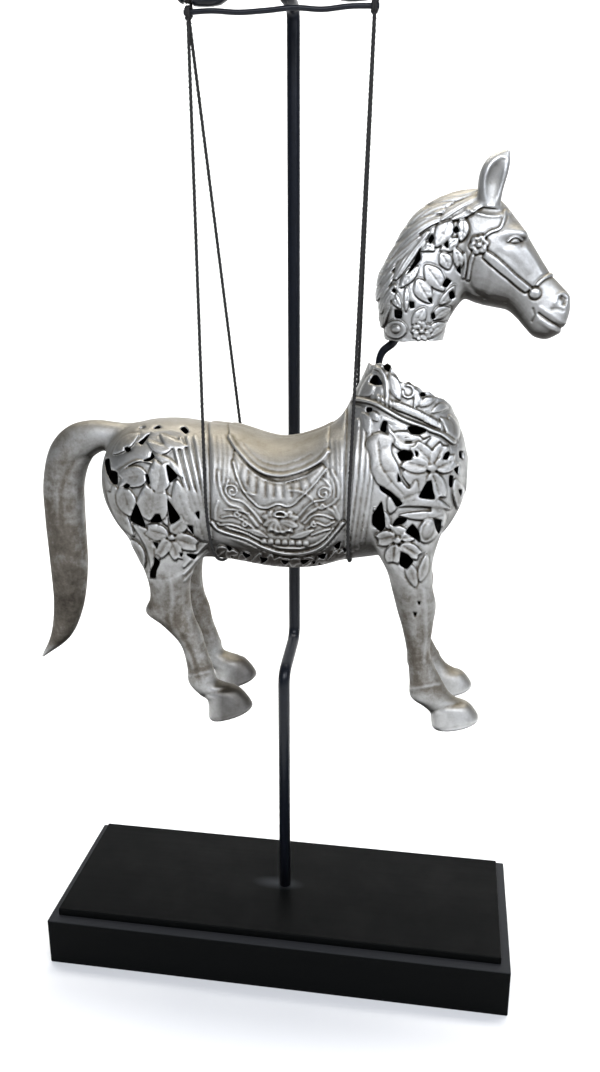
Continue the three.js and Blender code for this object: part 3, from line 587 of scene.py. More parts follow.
saddle.stroke([(x * 0.93, z + 7.0) for x, z in SEAT_RIM[2:-2]], 0.7, -0.5, 5)
saddle.rail([(x, z - 5.4) for x, z in SEAT_RIM[1:-1]], 0.9, 2.1, gutter=0.4)
for points, half in [
    ([(42, 430), (46.4, 420), (46.6, 411), (41, 404.8), (31.6, 401.8), (25, 397), (21, 391.6)], 1.3),
    ([(-40, 426), (-39.4, 416.7), (-37, 408.5), (-32.8, 402.6), (-24, 399.2), (-16.5, 392.6),
      (-12, 386.6)], 1.3),
    ([(36, 424), (40.6, 419), (41, 412.6), (37, 408.6), (30, 407), (24, 402.6), (18, 395)], 1.0),
    ([(-33, 420), (-35, 412), (-30.6, 406.6), (-23, 404.6), (-15, 397.4), (-8.6, 389)], 1.0),
    ([(24, 386), (31, 391), (38.3, 389), (44, 392.4)], 0.9),
    ([(22.6, 390), (29, 396.4), (36, 397), (43.4, 394.6)], 0.9),
    ([(28, 381.6), (35, 384.6), (41, 386.6)], 0.9),
    ([(-14, 384), (-22, 390), (-31, 393.4), (-38, 392)], 0.9),
    ([(-15, 380.6), (-24, 384.6), (-33, 386.6), (-40, 386)], 0.9),
    ([(-18, 395.6), (-28, 398), (-36, 398)], 0.9),
]:
    saddle.rail(points, half * 1.15, 2.2, gutter=0.5)
for centre, start, turn, turns in [
    ((36.4, 413), 5.2, 20, 1.3), ((-30.4, 412), 5.2, 160, -1.3), ((35.3, 403.6), 2.6, 200, 1.0),
    ((-27, 395), 2.6, 0, -1.0), ((29.6, 389.6), 2.4, 90, 1.0), ((-21.6, 387.4), 2.4, 80, -1.0),
]:
    saddle.rail(spiral(centre, start, turn, turns), 0.9, 2.2, smooth=0, gutter=0.5)
for angle in (-64, -38, -13, 13, 38, 64):
    root = (5 + 2 * math.sin(math.radians(angle)), 393)
    end = (5 + 15 * math.sin(math.radians(angle)), 389.6 + 10.5 * math.cos(math.radians(angle)))
    saddle.leaf([root, end], 6.4, rise=2.7, tip=0.7, rib=0.4, edge=1.5)
for angle in (-70, -42, -14, 14, 42, 70):
    end = (5 + 13.5 * math.sin(math.radians(angle)), 391 - 11 * math.cos(math.radians(angle)))
    saddle.leaf([(5, 392), end], 6.6, rise=2.7, tip=0.6, rib=0.4, edge=1.5)
saddle.plate(leaf_outline([(-0.6, 395.4), (5, 396.4), (10.6, 395.4)], 6.4, 0.6), 3.1, 2.0)
saddle.plate(leaf_outline([(1.6, 395.6), (5, 396.2), (8.4, 395.6)], 2.6, 0.6), 0.6, 0.6, "flat", gutter=0.2)
saddle.leaf([(12.4, 379), (20, 381), (29.4, 385.6)], 5.6, rise=2.5, rib=0.5, edge=1.4)
saddle.leaf([(-4.4, 378), (-12, 381), (-20, 384)], 5.0, rise=2.4, rib=0.5, edge=1.4)
for x in np.arange(-8, 24, 5.2):
    saddle.leaf([(x, 372.4), (x + 1.4, 377)], 4.6, rise=2.3, rib=0, edge=1.3, tip=0.6)
for points in [
    [(12, 414.6), (19, 414), (27, 409.6), (32, 404)], [(-14, 410), (-22, 412.6), (-27, 419)],
    [(44, 404), (47, 398), (48.6, 391)], [(-41, 404), (-43, 397), (-43, 390)],
    [(38, 403), (43.6, 399.6), (46, 395)], [(-2, 384.6), (5, 382.6), (12, 384.6)],
]:
    saddle.stroke(points, 0.9, 0.9, 5)
for outline in [
    [(-32.6, 363), (-29.6, 362.6), (-31, 359.4)], [(28, 362.4), (31, 362), (29.6, 359)],
    [(33, 361.6), (35.4, 360), (33, 357.6)], [(50.6, 372.6), (53.6, 373), (52.6, 369)],
]:
    saddle.pierce(outline)
# a narrow net of leaves shows under the cloth, and the hem lies over it
saddle.ground(curve([(-44, 384), (-30, 376), (-8, 368), (18, 364), (38, 372), (52, 388), (58, 372), (52, 352),
                     (0, 340), (-48, 350), (-50, 372)], 5, True), -1.3)
for x in np.arange(-42, 54, 8.0):
    lean = 3.0 * math.sin(x * 1.7)
    low_z = 355 + 0.004 * x * x
    saddle.leaf([(x, low_z), (x + 4 + lean, low_z + 5), (x + 8, low_z + 8 + lean)], 6.0, rise=1.2, rib=0.3)
    saddle.leaf([(x + 3, low_z - 9), (x + 7, low_z - 5), (x + 11 + lean, low_z - 4)], 5.0, rise=1.2, rib=0.3)
saddle.rail(CLOTH_HEM, 1.5, 2.3)
for outline in [
    [(-36, 371), (-31, 369), (-33, 366)], [(-24, 366.5), (-17, 364), (-21, 361.6)],
    [(-11, 363.6), (-4, 362), (-8, 358.6)], [(5, 361.6), (12, 361), (8, 358)],
    [(19, 362), (27, 363), (22, 359)], [(32, 366), (39, 368.6), (37, 363.6)],
    [(44, 374), (49, 378), (48, 372)], [(-2, 354.6), (3, 354), (0, 352)],
]:
    saddle.pierce(outline)
print("saddle drawn, with", len(FLUTED_HEM), "points along its scalloped hem")

# %% [markdown]
# ## Girths, chest straps, shoulder leaves
#
# Ribbed girths pass round the barrel on both sides of the saddle. In front of them the shoulder is open leaf
# work again, with a large five-petalled flower, and two straps cross the chest below the neck.

# %% Shoulder and straps
shoulder = body_drawing
shoulder.ground(
    curve([(71, 462), (92, 466), (112, 462), (128, 452), (136, 434), (134, 404), (122, 384), (112, 366),
           (98, 352), (84, 366), (71, 386), (70, 420)], 6, True), -1.0)
for top, middle, low, half in [
    ((59.6, 466), (58.6, 429), (53.6, 372), 1.7), ((63.8, 466), (62.8, 429), (57.4, 372), 1.7),
    ((68, 462), (66.8, 429), (61, 374), 1.7), ((72, 457), (70.6, 429), (64.6, 378), 1.4),
    ((-72.5, 448), (-65.6, 418), (-52, 374), 1.6), ((-67, 449), (-60.6, 418), (-50, 374), 1.6),
    ((-61.5, 450), (-56, 419), (-48.6, 374), 1.6), ((-56, 451), (-52, 420), (-47.4, 376), 1.5),
]:
    shoulder.rail([top, middle, low], half * 1.15, 0.85, gutter=0.15)
shoulder.leaf([(112, 412), (118, 402), (121, 392)], 9, rise=1.4)
shoulder.leaf([(72, 404), (79, 398), (84, 388)], 8, rise=1.4, veins=2)
shoulder.leaf([(83.6, 416), (85.4, 408), (84, 400)], 8, rise=1.6)
shoulder.leaf([(128, 428), (131, 418), (131, 406)], 8, rise=1.4)
shoulder.leaf([(75, 450), (84, 455), (96, 456), (108, 452)], 8, rise=1.5, veins=3)
shoulder.leaf([(80.4, 464), (84.6, 454.6), (92, 449), (101.5, 450.6), (110, 456.4)], 6.4, rise=1.8)
wedge = curve([(91.4, 431), (101, 433.6), (111, 430), (108.6, 421), (104.8, 414.6), (98, 420)], 5, True)
shoulder.plate(wedge, 1.5)
shoulder.plate(
    curve([(66, 451), (74, 458.6), (84, 455), (83.6, 446), (89, 435), (91.6, 425), (96.6, 419.6),
           (101.4, 425), (103, 416), (100, 409.4), (93, 408.8), (86, 414), (76, 420), (70.6, 430),
           (68.6, 443)], 5, True),
    2.1, 1.0, "dome", 0.9, reach=7)
shoulder.stroke([(74, 452), (76.6, 436), (84, 424), (93, 414.6)], 0.6, -0.7, 5)
for root, end in [
    ((75, 446), (81, 449)), ((76.6, 436), (71.6, 432)), ((79, 431), (86.6, 431)), ((84, 424), (80, 419)),
]:
    shoulder.stroke([root, end], 0.5, -0.5)
shoulder.leaf([(87, 406), (96, 409.6), (104, 411), (116, 409.6), (126, 405.6)], 9.5, rise=1.9, veins=4)
shoulder.leaf([(90, 399.6), (101.5, 399.6), (112, 400.6), (121, 402)], 7, rise=1.6, veins=2)
shoulder.leaf([(84, 392), (92, 387), (100, 384)], 9, rise=1.8)
shoulder.leaf([(107.6, 380), (111, 389), (112.4, 398)], 13.5, rise=2.3, rib=0, tip=0.5)
shoulder.plate(leaf_outline([(109, 383), (111, 389), (112, 395)], 7, 0.5), 2.7, 1.8)
for centre, end, width in [
    ((113.6, 437), (98.6, 451), 12), ((113, 436), (119.6, 452), 11), ((114, 434), (128.6, 441), 12.5),
    ((112, 432), (119, 412.6), 12.5), ((110, 434.6), (90.6, 438.6), 12),
]:
    shoulder.leaf([centre, end], width, rise=2.4, form="cup", heart=1.8, rib=0.8, edge=1.1, veins=2, tip=0.6)
shoulder.plate(leaf_outline([(108.6, 434.6), (112, 434.6), (115.4, 434.6)], 6.4, 0.5), 3.1, 2.0)
for centre, end, width in [
    ((92, 378), (106, 369.6), 11), ((88, 384), (75, 380), 12), ((88, 378), (87, 363), 12.5),
    ((92, 382), (103, 386), 8),
]:
    shoulder.leaf([centre, end], width, rise=2.1, form="cup", heart=1.4, rib=0.7, edge=1.1, tip=0.6)
shoulder.plate(curve([(86.4, 380.6), (89.6, 384), (92.6, 380.6), (89.6, 377.6)], 5, True), 2.8, 1.8)
for midline, width, rise in [
    ([(96, 366), (101, 356), (103.6, 346)], 8.6, 1.4),
    ([(111, 372), (109, 360), (107, 350)], 7, 1.3),
    ([(81, 499), (84, 491), (88.6, 481)], 8.5, 1.5),
]:
    shoulder.leaf(midline, width, rise=rise)
shoulder.rail([(69, 503), (74, 501.6), (77.6, 496), (79, 489), (79.6, 482)], 1.7, 1.7, gutter=0.4)
shoulder.leaf([(60, 482), (66, 488), (68, 498)], 9, rise=1.2)
shoulder.rail(spiral((93.6, 487), 4.4, 100, -0.8, end=3.6), 1.3, 1.8, smooth=0, gutter=0.4)
for midline, width, rise in [
    ([(99, 489), (100.6, 482), (98, 476)], 5.6, 1.4),
    ([(102, 477), (107, 481), (112, 482.6)], 6.4, 1.5),
    ([(110, 473), (116, 477), (121, 477)], 6.0, 1.3),
    ([(122, 472), (126, 462), (126, 452)], 7.5, 1.3),
    ([(116, 470), (122, 464), (123, 455)], 6.0, 1.2),
    ([(68, 473), (71, 470), (73.6, 466)], 6.4, 1.5),
    ([(62, 472), (66, 466), (66.6, 458)], 7.0, 1.2),
]:
    shoulder.leaf(midline, width, rise=rise)
FRINGE = curve([(73, 484.6), (84, 481), (92, 478.6), (100, 475.4), (108, 471.6), (116, 467.6)], 4)
for at in FRINGE:
    shoulder.leaf([at, at + (0.7, -3.6), at + (1.7, -7.2)], 2.7, rise=1.8, tip=0.45, rib=0, edge=1.0)
CHEST_STRAP = [(56, 481), (66, 479.8), (73, 477.6), (81, 473.2), (90, 468.4), (100, 464.8), (110, 461.2),
               (118, 458.4), (126, 453)]
shoulder.rail(CHEST_STRAP, 1.9, 2.5, gutter=0.9)
shoulder.stroke([(58, 478.4), (66, 475.6), (74, 473), (84, 468.4), (94, 463.6), (104, 460.4)], 1.1, -0.9, 5)
shoulder.stroke([(73, 481), (82, 476.4), (88, 473), (96, 469.8), (104, 467)], 0.9, -0.8, 5)
for outline in [
    [(64.6, 501), (65.6, 508), (70.6, 507.6), (69.2, 500.6), (66, 497.4)],
    [(76.2, 505), (77, 508), (81.6, 507), (80.6, 500), (77.2, 501.4)],
    [(67.2, 492.4), (69.8, 497.2), (72.8, 497.2), (76.6, 491.4), (72, 490.8)],
    [(101.4, 485.8), (104.6, 487), (105.6, 484.4), (102.4, 483.6)],
    [(65.4, 474.8), (69.4, 475.4), (69.6, 473), (66, 472)],
    [(94, 462.4), (100, 463.6), (108, 461), (102, 457.6), (96.4, 458.2)],
    [(77.6, 466.6), (80, 466), (79, 458), (75.4, 460)],
    [(87.6, 444), (92, 446.6), (98.4, 444.4), (97.4, 440), (90.4, 438.8)],
    [(99.4, 446.4), (102.4, 445), (101, 442)], [(118.7, 441), (121, 446), (123.8, 446), (122, 441)],
    [(129.6, 447), (133, 446.6), (132.4, 441.6), (130, 442.6)],
    [(124, 430), (126.4, 429), (126.2, 421), (124.2, 422)], [(130.6, 420), (133.2, 419.6), (132.4, 415)],
    [(103.6, 413.4), (109, 424.6), (111.8, 425.6), (113.4, 418), (115, 412.6), (108.6, 412.4)],
    [(75.6, 421), (83, 417), (88.6, 412.2), (92.6, 408), (88.6, 405.4), (84.2, 412.4), (77, 417)],
    [(77.6, 409), (80, 399), (80.8, 391), (78, 386.6), (71.6, 392), (71.6, 399)],
    [(85.4, 391), (89.4, 397.4), (96.6, 397.4), (93, 393.4)],
    [(95.2, 387.2), (100, 393.4), (104.6, 388), (106, 380), (101, 383.6)],
    [(114.6, 398), (120, 397), (119, 386.6), (116.6, 390)],
    [(92.2, 372.4), (97.6, 370.4), (101.6, 366), (97, 359.6), (92, 362.4)],
    [(88.4, 430.6), (91, 424.6), (88.6, 424)], [(126.6, 434.6), (129.6, 436), (129.4, 430.6)],
    [(103, 326.4), (105.4, 326.2), (104.4, 323)], [(105.6, 335), (107.8, 335), (107, 332)],
]:
    shoulder.pierce(outline)
print("shoulder drawn")

# %% [markdown]
# ## Legs, hooves and tail
#
# Below the leaf work the casting is smooth and only the form speaks: tendons, knees, a coronet line over
# each hoof, and a soft hollow where the tail leaves the croup. They go on the same drawing as shallow
# strokes.

# %% Legs and tail
limbs = body_drawing
for points, half, lift in [
    ([(-134, 434), (-146, 431), (-155, 420), (-160.5, 404), (-162, 380)], 2.2, -0.5),
    ([(88, 342), (94, 330), (99, 312), (104, 292), (107, 272)], 2.2, -0.35),
    ([(110, 344), (112, 326), (113, 306), (112, 288)], 1.8, 0.6),
    ([(-98, 334), (-96, 322), (-98, 312)], 2.0, -0.4),
    ([(-80, 344), (-78, 326), (-80, 308), (-72, 290), (-64, 270)], 2.0, 0.6),
    ([(-70, 296), (-64, 280), (-60, 262)], 2.0, -0.35), ([(118, 246), (128, 251), (141, 256)], 1.5, -0.7),
    ([(-61, 244), (-50, 249), (-37, 254)], 1.5, -0.7), ([(100, 264), (112, 267), (124, 271)], 1.4, 0.5),
    ([(-72, 262), (-62, 264), (-51, 268)], 1.4, 0.5), ([(123, 232), (138, 236), (152, 240)], 0.9, -0.3),
    ([(-54, 225), (-40, 229), (-25, 235)], 0.9, -0.3),
]:
    limbs.stroke(points, half, lift, 6)
print("limbs drawn")

# %% [markdown]
# ## From sections to one volume
#
# The body is a set of oval sections: a barrel, a neck stump, a tail and four legs. Skinned one by one they
# would cross each other, so each is turned into a distance volume, where every cell holds how far it is
# from the surface. Volumes join with a soft fillet, take a carving of any depth, and can be hollowed to an
# even wall, which is just what a shell core does in a foundry.

# %% Lofts and volumes
# distances are kept this far from a surface while volumes join, and this far when one becomes a mesh
BAND, KEPT_BAND = 8.0, 2.5
# the carving goes from the deepest groove to the highest flower, and no further from the surface than this
DEEPEST, HIGHEST, CARVED_BAND = -1.35, 3.4, 4.6
# gaps on the far side are smaller by this, and closed this far around a near gap's line of sight
FAR_GAP_LESS, DAYLIGHT_MARGIN = 0.6, 3.6
# how far around a place its wear looks, and how strongly a ridge there brightens it
FINE_REACH, FINE_GAIN = 1.6, 0.42
BROAD_REACH, BROAD_GAIN = 4.0, 0.07
# how deep below the outer surface the painted shade of the inside begins and is complete
INNER_FROM, INNER_TO = 1.5, 2.7


def loft(sections, sides=40, power=2.0, steps=6):
    """Points and faces of a skin over sections [back x, back z, front x, front z, half width, sideways]."""
    rows = curve(sections, steps)
    angle = (np.arange(sides) + 0.5) / sides * 2 * np.pi
    along = np.sign(np.cos(angle)) * np.abs(np.cos(angle)) ** (2 / power)
    across = np.sign(np.sin(angle)) * np.abs(np.sin(angle)) ** (2 / power)
    x = (rows[:, [0]] + rows[:, [2]]) / 2 + (rows[:, [2]] - rows[:, [0]]) / 2 * along
    z = (rows[:, [1]] + rows[:, [3]]) / 2 + (rows[:, [3]] - rows[:, [1]]) / 2 * along
    y = rows[:, [5]] + np.maximum(rows[:, [4]], 0.3) * across
    points = np.stack([x, y, z], 2).reshape(-1, 3)
    faces = []
    for r in range(len(rows) - 1):
        for s in range(sides):
            a, b = r * sides + s, r * sides + (s + 1) % sides
            faces += [(a, b, b + sides), (a, b + sides, a + sides)]
    for start in (0, (len(rows) - 1) * sides):
        hub = len(points)
        points = np.vstack([points, points[start : start + sides].mean(0)])
        turn = [(hub, start + (s + 1) % sides, start + s) for s in range(sides)]
        faces += turn if start == 0 else [(a, c, b) for a, b, c in turn]
    return points, np.array(faces)


def swept_volume(points, faces):
    """The volume inside a closed skin, below 0 if its faces look inwards."""
    a, b, c = (points[faces[:, n]] for n in range(3))
    return float(np.einsum("ij,ij->i", a, np.cross(b, c)).sum()) / 6


class Volume:
    """A block of cells that each hold a distance to a surface in mm."""

    def __init__(self, low, high, cell):
        self.cell = cell
        self.first = np.floor(np.array(low) / cell).astype(int)
        self.shape = tuple(np.ceil((np.array(high) - low) / cell).astype(int))
        self.x, self.y, self.z = ((np.arange(n) + f) * cell for n, f in zip(self.shape, self.first))

    def distance(self, part):
        """Distances to one closed skin, below 0 inside it."""
        points, faces = part
        if swept_volume(points, faces) < 0:
            faces = faces[:, ::-1]
        grid = openvdb.FloatGrid.createLevelSetFromPolygons(
            np.ascontiguousarray(points, np.float32),
            triangles=np.ascontiguousarray(faces, np.uint32),
            transform=openvdb.createLinearTransform(voxelSize=self.cell),
            halfWidth=BAND / self.cell,
        )
        field = np.empty(self.shape, np.float32)
        grid.copyToArray(field, ijk=tuple(int(n) for n in self.first))
        return field

    def at(self, field, points):
        """The field's value at points, blended between cells."""
        places = points / self.cell - self.first
        base = np.clip(places.astype(np.int32), 0, np.array(self.shape) - 2)
        share = np.clip(places - base, 0, 1).astype(np.float32)
        total = np.zeros(len(points), np.float32)
        for corner in range(8):
            step = np.array([corner & 1, corner >> 1 & 1, corner >> 2 & 1])
            weight = np.prod(np.where(step, share, 1 - share), axis=1)
            i, j, k = (base + step).T
            total += weight * field[i, j, k]
        return total


def melt(a, b, reach):
    """Two volumes joined with a soft fillet."""
    share = np.clip(0.5 + 0.5 * (b - a) / reach, 0, 1)
    return b + share * (a - b) - reach * share * (1 - share)


def blurred(field, cells):
    """The field with each cell averaged with those around it."""
    for axis in range(3):
        pad = [(cells + 1, cells) if n == axis else (0, 0) for n in range(3)]
        total = np.cumsum(np.pad(field, pad, mode="edge"), axis=axis, dtype=np.float32)
        width = 2 * cells + 1
        far = [slice(width, None) if n == axis else slice(None) for n in range(3)]
        near = [slice(None, -width) if n == axis else slice(None) for n in range(3)]
        field = (total[tuple(far)] - total[tuple(near)]) / width
    return field


def carve(volume, core, drawing, gap_from, fade=(0.0, 0.3)):
    """The core with the drawing carved into both sides, and its gaps pierced.

    The carving grows with how far the surface faces the viewer, from nothing to full height over `fade`.
    """
    carved = core.copy()
    cells = np.nonzero(np.abs(core) < CARVED_BAND)
    points = np.stack([axis[n] for axis, n in zip((volume.x, volume.y, volume.z), cells)], 1)
    inner_cells = [np.clip(n, 1, size - 2) for n, size in zip(cells, volume.shape)]
    slope = []
    for axis in range(3):
        up, down = list(inner_cells), list(inner_cells)
        up[axis], down[axis] = up[axis] + 1, down[axis] - 1
        slope.append(core[tuple(up)] - core[tuple(down)])
    slope = np.stack(slope, 1)
    slope /= np.linalg.norm(slope, axis=1)[:, None] + 1e-6
    mirrored = points.copy()
    mirrored[:, 1] = -np.abs(points[:, 1])
    slope[:, 1] *= np.where(points[:, 1] > 0, -1, 1)
    sight = mirrored - VIEWER
    sight /= np.linalg.norm(sight, axis=1)[:, None]
    facing = -np.einsum("ij,ij->i", slope, sight)
    x, z = on_drawing(points, drawing.plane)
    height = np.clip(drawing.at(drawing.height, x, z), DEEPEST, HIGHEST) * ease(facing, *fade)
    value = core[cells] - height
    gap = drawing.at(drawing.gap, x, z)
    # behind a near gap the far wall stays whole, so that no gap shows daylight
    share = (drawing.plane - VIEWER[1]) / (points[:, 1] - VIEWER[1])
    x = VIEWER[0] + (points[:, 0] - VIEWER[0]) * share
    z = VIEWER[2] + (points[:, 2] - VIEWER[2]) * share
    daylight = DAYLIGHT_MARGIN - drawing.at(drawing.gap, x, z)
    gap = np.where(points[:, 1] > 0, np.maximum(gap + FAR_GAP_LESS, daylight), gap)
    open_here = (np.abs(points[:, 1]) > gap_from) & (facing > -0.2)
    value = np.where(open_here, np.maximum(value, -gap), value)
    carved[cells] = value
    return carved


def without_crumbs(mesh):
    """Takes away what the gaps and the break cut loose, and leaves the one casting."""
    ends = np.empty(len(mesh.edges) * 2, np.int32)
    mesh.edges.foreach_get("vertices", ends)
    first, second = ends.reshape(-1, 2).T
    island, settled = np.arange(len(mesh.vertices)), False
    while not settled:
        lower = island.copy()
        np.minimum.at(lower, first, island[second])
        np.minimum.at(lower, second, island[first])
        lower = lower[lower]
        settled, island = bool((lower == island).all()), lower
    names, sizes = np.unique(island, return_counts=True)
    loose = np.nonzero(island != names[sizes.argmax()])[0]
    if len(loose):
        shape = bmesh.new()
        shape.from_mesh(mesh)
        shape.verts.ensure_lookup_table()
        bmesh.ops.delete(shape, geom=[shape.verts[i] for i in loose.tolist()], context="VERTS")
        shape.to_mesh(mesh)
        shape.free()
    print("crumbs taken away:", len(names) - 1, "of", len(loose), "corners")


def to_piece(name, volume, field, core, faces_wanted, finish):
    """The volume's surface as a piece, thinned, with how worn and how deep inside each place is."""
    grid = openvdb.FloatGrid(KEPT_BAND)
    grid.transform = openvdb.createLinearTransform(voxelSize=volume.cell)
    kept = np.clip(field, -KEPT_BAND, KEPT_BAND)
    grid.copyFromArray(kept, ijk=tuple(int(n) for n in volume.first), tolerance=0.0)
    points, triangles, quads = grid.convertToPolygons(isovalue=0.0, adaptivity=0.0)
    data = bpy.data.meshes.new(name)
    data.vertices.add(len(points))
    data.vertices.foreach_set("co", (points * MM).astype(np.float32).ravel())
    corners = np.concatenate([quads.ravel(), triangles.ravel()]).astype(np.int32)
    starts = np.concatenate([np.arange(len(quads)) * 4, len(quads) * 4 + np.arange(len(triangles)) * 3])
    data.loops.add(len(corners))
    data.loops.foreach_set("vertex_index", corners)
    data.polygons.add(len(starts))
    data.polygons.foreach_set("loop_start", starts.astype(np.int32))
    data.update(calc_edges=True)
    rough_piece = bpy.data.objects.new(name, data)
    bpy.context.scene.collection.objects.link(rough_piece)
    thin = rough_piece.modifiers.new("thin", "DECIMATE")
    thin.ratio = min(1.0, faces_wanted / (2 * len(quads) + len(triangles)))
    graph = bpy.context.evaluated_depsgraph_get()
    thinned = bpy.data.meshes.new_from_object(rough_piece.evaluated_get(graph))
    rough_piece.modifiers.clear()
    rough_piece.data = thinned
    thinned.name = name
    without_crumbs(thinned)
    thinned.polygons.foreach_set("use_smooth", [True] * len(thinned.polygons))
    thinned.materials.clear()
    thinned.materials.append(finish)
    bpy.data.meshes.remove(data)
    places = np.empty(len(thinned.vertices) * 3, np.float32)
    thinned.vertices.foreach_get("co", places)
    places = places.reshape(-1, 3) / MM
    fine = volume.at(blurred(np.clip(field, -3, 3), max(1, round(FINE_REACH / volume.cell))), places)
    broad = volume.at(blurred(np.clip(field, -5, 5), round(BROAD_REACH / volume.cell)), places)
    deep = volume.at(core, places)
    for label, values in (
        ("worn", np.clip(0.5 + FINE_GAIN * fine + BROAD_GAIN * broad, 0, 1)),
        ("inner", ease(-deep, INNER_FROM, INNER_TO)),
    ):
        thinned.attributes.new(label, "FLOAT", "POINT").data.foreach_set("value", values.astype(np.float32))
    print(name, len(thinned.polygons), "faces from", 2 * len(quads) + len(triangles))
    return rough_piece


print("volume tools ready")

# %% [markdown]
# ## The body
#
# The sections are the CAD part's own, with a few more where the hooves turn. A section is given by its back
# point, its front point, its half width and how far it stands sideways. The far feet stand a little behind
# the near ones, as the slings leave them.

# %% Body
TORSO = [
    [x, top, x, low, half, 0]
    for x, top, low, half in [
        (-140, 417, 399, 9), (-134, 434, 384, 23), (-122, 447, 366, 34), (-104, 454, 351, 40.5),
        (-80, 456, 348, 43), (-54, 453, 350, 42.5), (-36, 451, 349, 42.5), (0, 443, 345, 43),
        (28, 450, 347, 43), (48, 461, 353, 42.5), (74, 468, 358, 42.5), (100, 472, 364, 40),
        (120, 467, 376, 33), (131, 452, 393, 23), (137, 434, 410, 9),
    ]
]
NECK_STUMP = [
    [44, 440, 132, 420, 34, 0], [46, 463, 130, 446, 34, 0], [54, 481, 124, 468, 30, 0],
    [62, 499, 119, 487, 25, 0], [66, 514, 118, 506, 22, 0],
]
STUMP_EDGE = [
    (30, 503), (60, 503), (63, 503.4), (65, 505.4), (67, 506), (69.4, 504.4), (72, 505.6), (75, 506),
    (77, 504.4), (79, 506), (81.4, 504.6), (83, 500.5), (86, 497.6), (88, 493.8), (91, 492.8), (94, 494),
    (97.4, 491.4), (101, 490), (104, 487), (108, 487.4), (112, 484.2), (118, 482.6), (123, 478.5),
    (150, 474), (150, 560), (30, 560),
]
TAIL = [
    [-112, 450, -112, 430, 9, 0], [-130, 452, -132, 431, 9.5, 0], [-148, 453, -145, 427, 10, 0],
    [-167, 448, -153, 418, 10.5, 0], [-183, 432, -158, 402, 11, 0], [-191, 405, -159, 386, 11.5, 0],
    [-192, 374, -159.5, 362, 12, 0], [-191, 335, -160.5, 330, 11.5, 0], [-191, 300, -167, 296, 9.5, 0],
    [-196, 272, -180, 270, 6.5, 0], [-206.5, 250.5, -204, 251, 1.2, 0],
]
FORELEG = [
    [72, 418, 126, 424, 15, 20], [71, 394, 126, 400, 17.5, 22], [73, 371, 119, 378, 17.5, 24],
    [82, 353, 115, 359, 14, 26], [86.5, 338, 116, 342, 11.5, 27.5], [90.5, 323, 119, 328, 10.5, 27.5],
    [95, 308, 117.5, 312, 9.5, 27.5], [99.5, 286, 116.5, 288, 8.3, 27.5],
    [101.5, 267, 125, 269, 8.8, 27.5], [103, 253, 132.5, 257, 10, 27.5],
    [112, 246.5, 139, 252.5, 9.6, 27.5], [118, 241, 147.5, 249.5, 10.8, 27.5],
    [120, 229.5, 155.0, 238.5, 12.4, 27.5], [122, 227.8, 153.3, 236, 11.6, 27.5],
]
HINDLEG = [
    [-128, 410, -52, 418, 17, 22], [-122, 388, -49, 384, 19, 23], [-113, 367, -56, 359, 17.5, 25],
    [-105, 350, -64.5, 346, 14.5, 26.5], [-100, 335, -67.5, 335, 12.5, 27.5],
    [-99.5, 321, -67.5, 318, 11, 27.5], [-103.5, 310, -65, 306, 10.5, 27.5],
    [-92, 301, -60, 294, 9.4, 27.5], [-77, 285, -57, 281, 8.2, 27.5], [-72, 265, -51.5, 265, 8.2, 27.5],
    [-71, 252, -48.5, 254, 9.5, 27.5], [-63, 242.5, -42, 251.5, 9.3, 27.5],
    [-56.5, 238, -31, 248.5, 10.4, 27.5], [-55.5, 222.5, -20.5, 234.5, 12.4, 27.5],
    [-53.5, 220.4, -22.4, 231.6, 11.6, 27.5],
]
WALL = 3.0
FAR_FORE_SHIFT, FAR_HIND_SHIFT = -4.6, -8.0
STUMP_FILLET, TAIL_FILLET, LEG_FILLET = 7, 5, 5
# legs and tail are solid: the hollow ends above the legs and in front of the tail
HOLLOW_LOW_Z, HOLLOW_BACK_X = 347, -128
# no gap is pierced nearer to the middle than this
BODY_SOLID_MIDDLE = 12
BODY_FACES = 190000


def on_side(sections, side, shift):
    """A leg's sections on one side, with the far foot moved back."""
    moved = []
    for i, (back_x, back_z, front_x, front_z, half, sideways) in enumerate(sections):
        step = shift * min(1, i / (len(sections) / 2)) if side > 0 else 0
        moved.append([back_x + step, back_z, front_x + step, front_z, half, sideways * side])
    return moved


cell = 0.8
body_volume = Volume((-214, -50, 214), (162, 50, 512), cell)
body_core = body_volume.distance(loft(TORSO, 64, 2.25))
body_core = melt(body_core, body_volume.distance(loft(NECK_STUMP, 48, 2.1)), STUMP_FILLET)
body_core = melt(body_core, body_volume.distance(loft(TAIL, 32)), TAIL_FILLET)
for side in (-1, 1):
    for sections, shift in ((FORELEG, FAR_FORE_SHIFT), (HINDLEG, FAR_HIND_SHIFT)):
        leg = body_volume.distance(loft(on_side(sections, side, shift), 36, 2.15))
        body_core = melt(body_core, leg, LEG_FILLET)
body_carved = carve(body_volume, body_core, body_drawing, BODY_SOLID_MIDDLE)
cavity = np.maximum(body_core + WALL, (HOLLOW_LOW_Z - body_volume.z)[None, None, :])
cavity = np.maximum(cavity, (HOLLOW_BACK_X - body_volume.x)[:, None, None])
body_carved = np.maximum(body_carved, -cavity)
# the break is cut along the lines of sight, so that its near edge hides the far one
edge_line = np.array(STUMP_EDGE, float)
left, low = np.searchsorted(body_volume.x, 40), np.searchsorted(body_volume.z, 460)
share = ((body_drawing.plane - VIEWER[1]) / (body_volume.y - VIEWER[1]))[None, :, None]
seen_x = VIEWER[0] + (body_volume.x[left:, None, None] - VIEWER[0]) * share
seen_z = VIEWER[2] + (body_volume.z[None, None, low:] - VIEWER[2]) * share
above = outline_distance(seen_x, seen_z, edge_line)
body_carved[left:, :, low:] = np.maximum(body_carved[left:, :, low:], -above)
horse_body = to_piece("horse_body_carved", body_volume, body_carved, body_core, BODY_FACES, cast_metal)
del body_carved, cavity
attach(horse_body, "root")
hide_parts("horse_body")

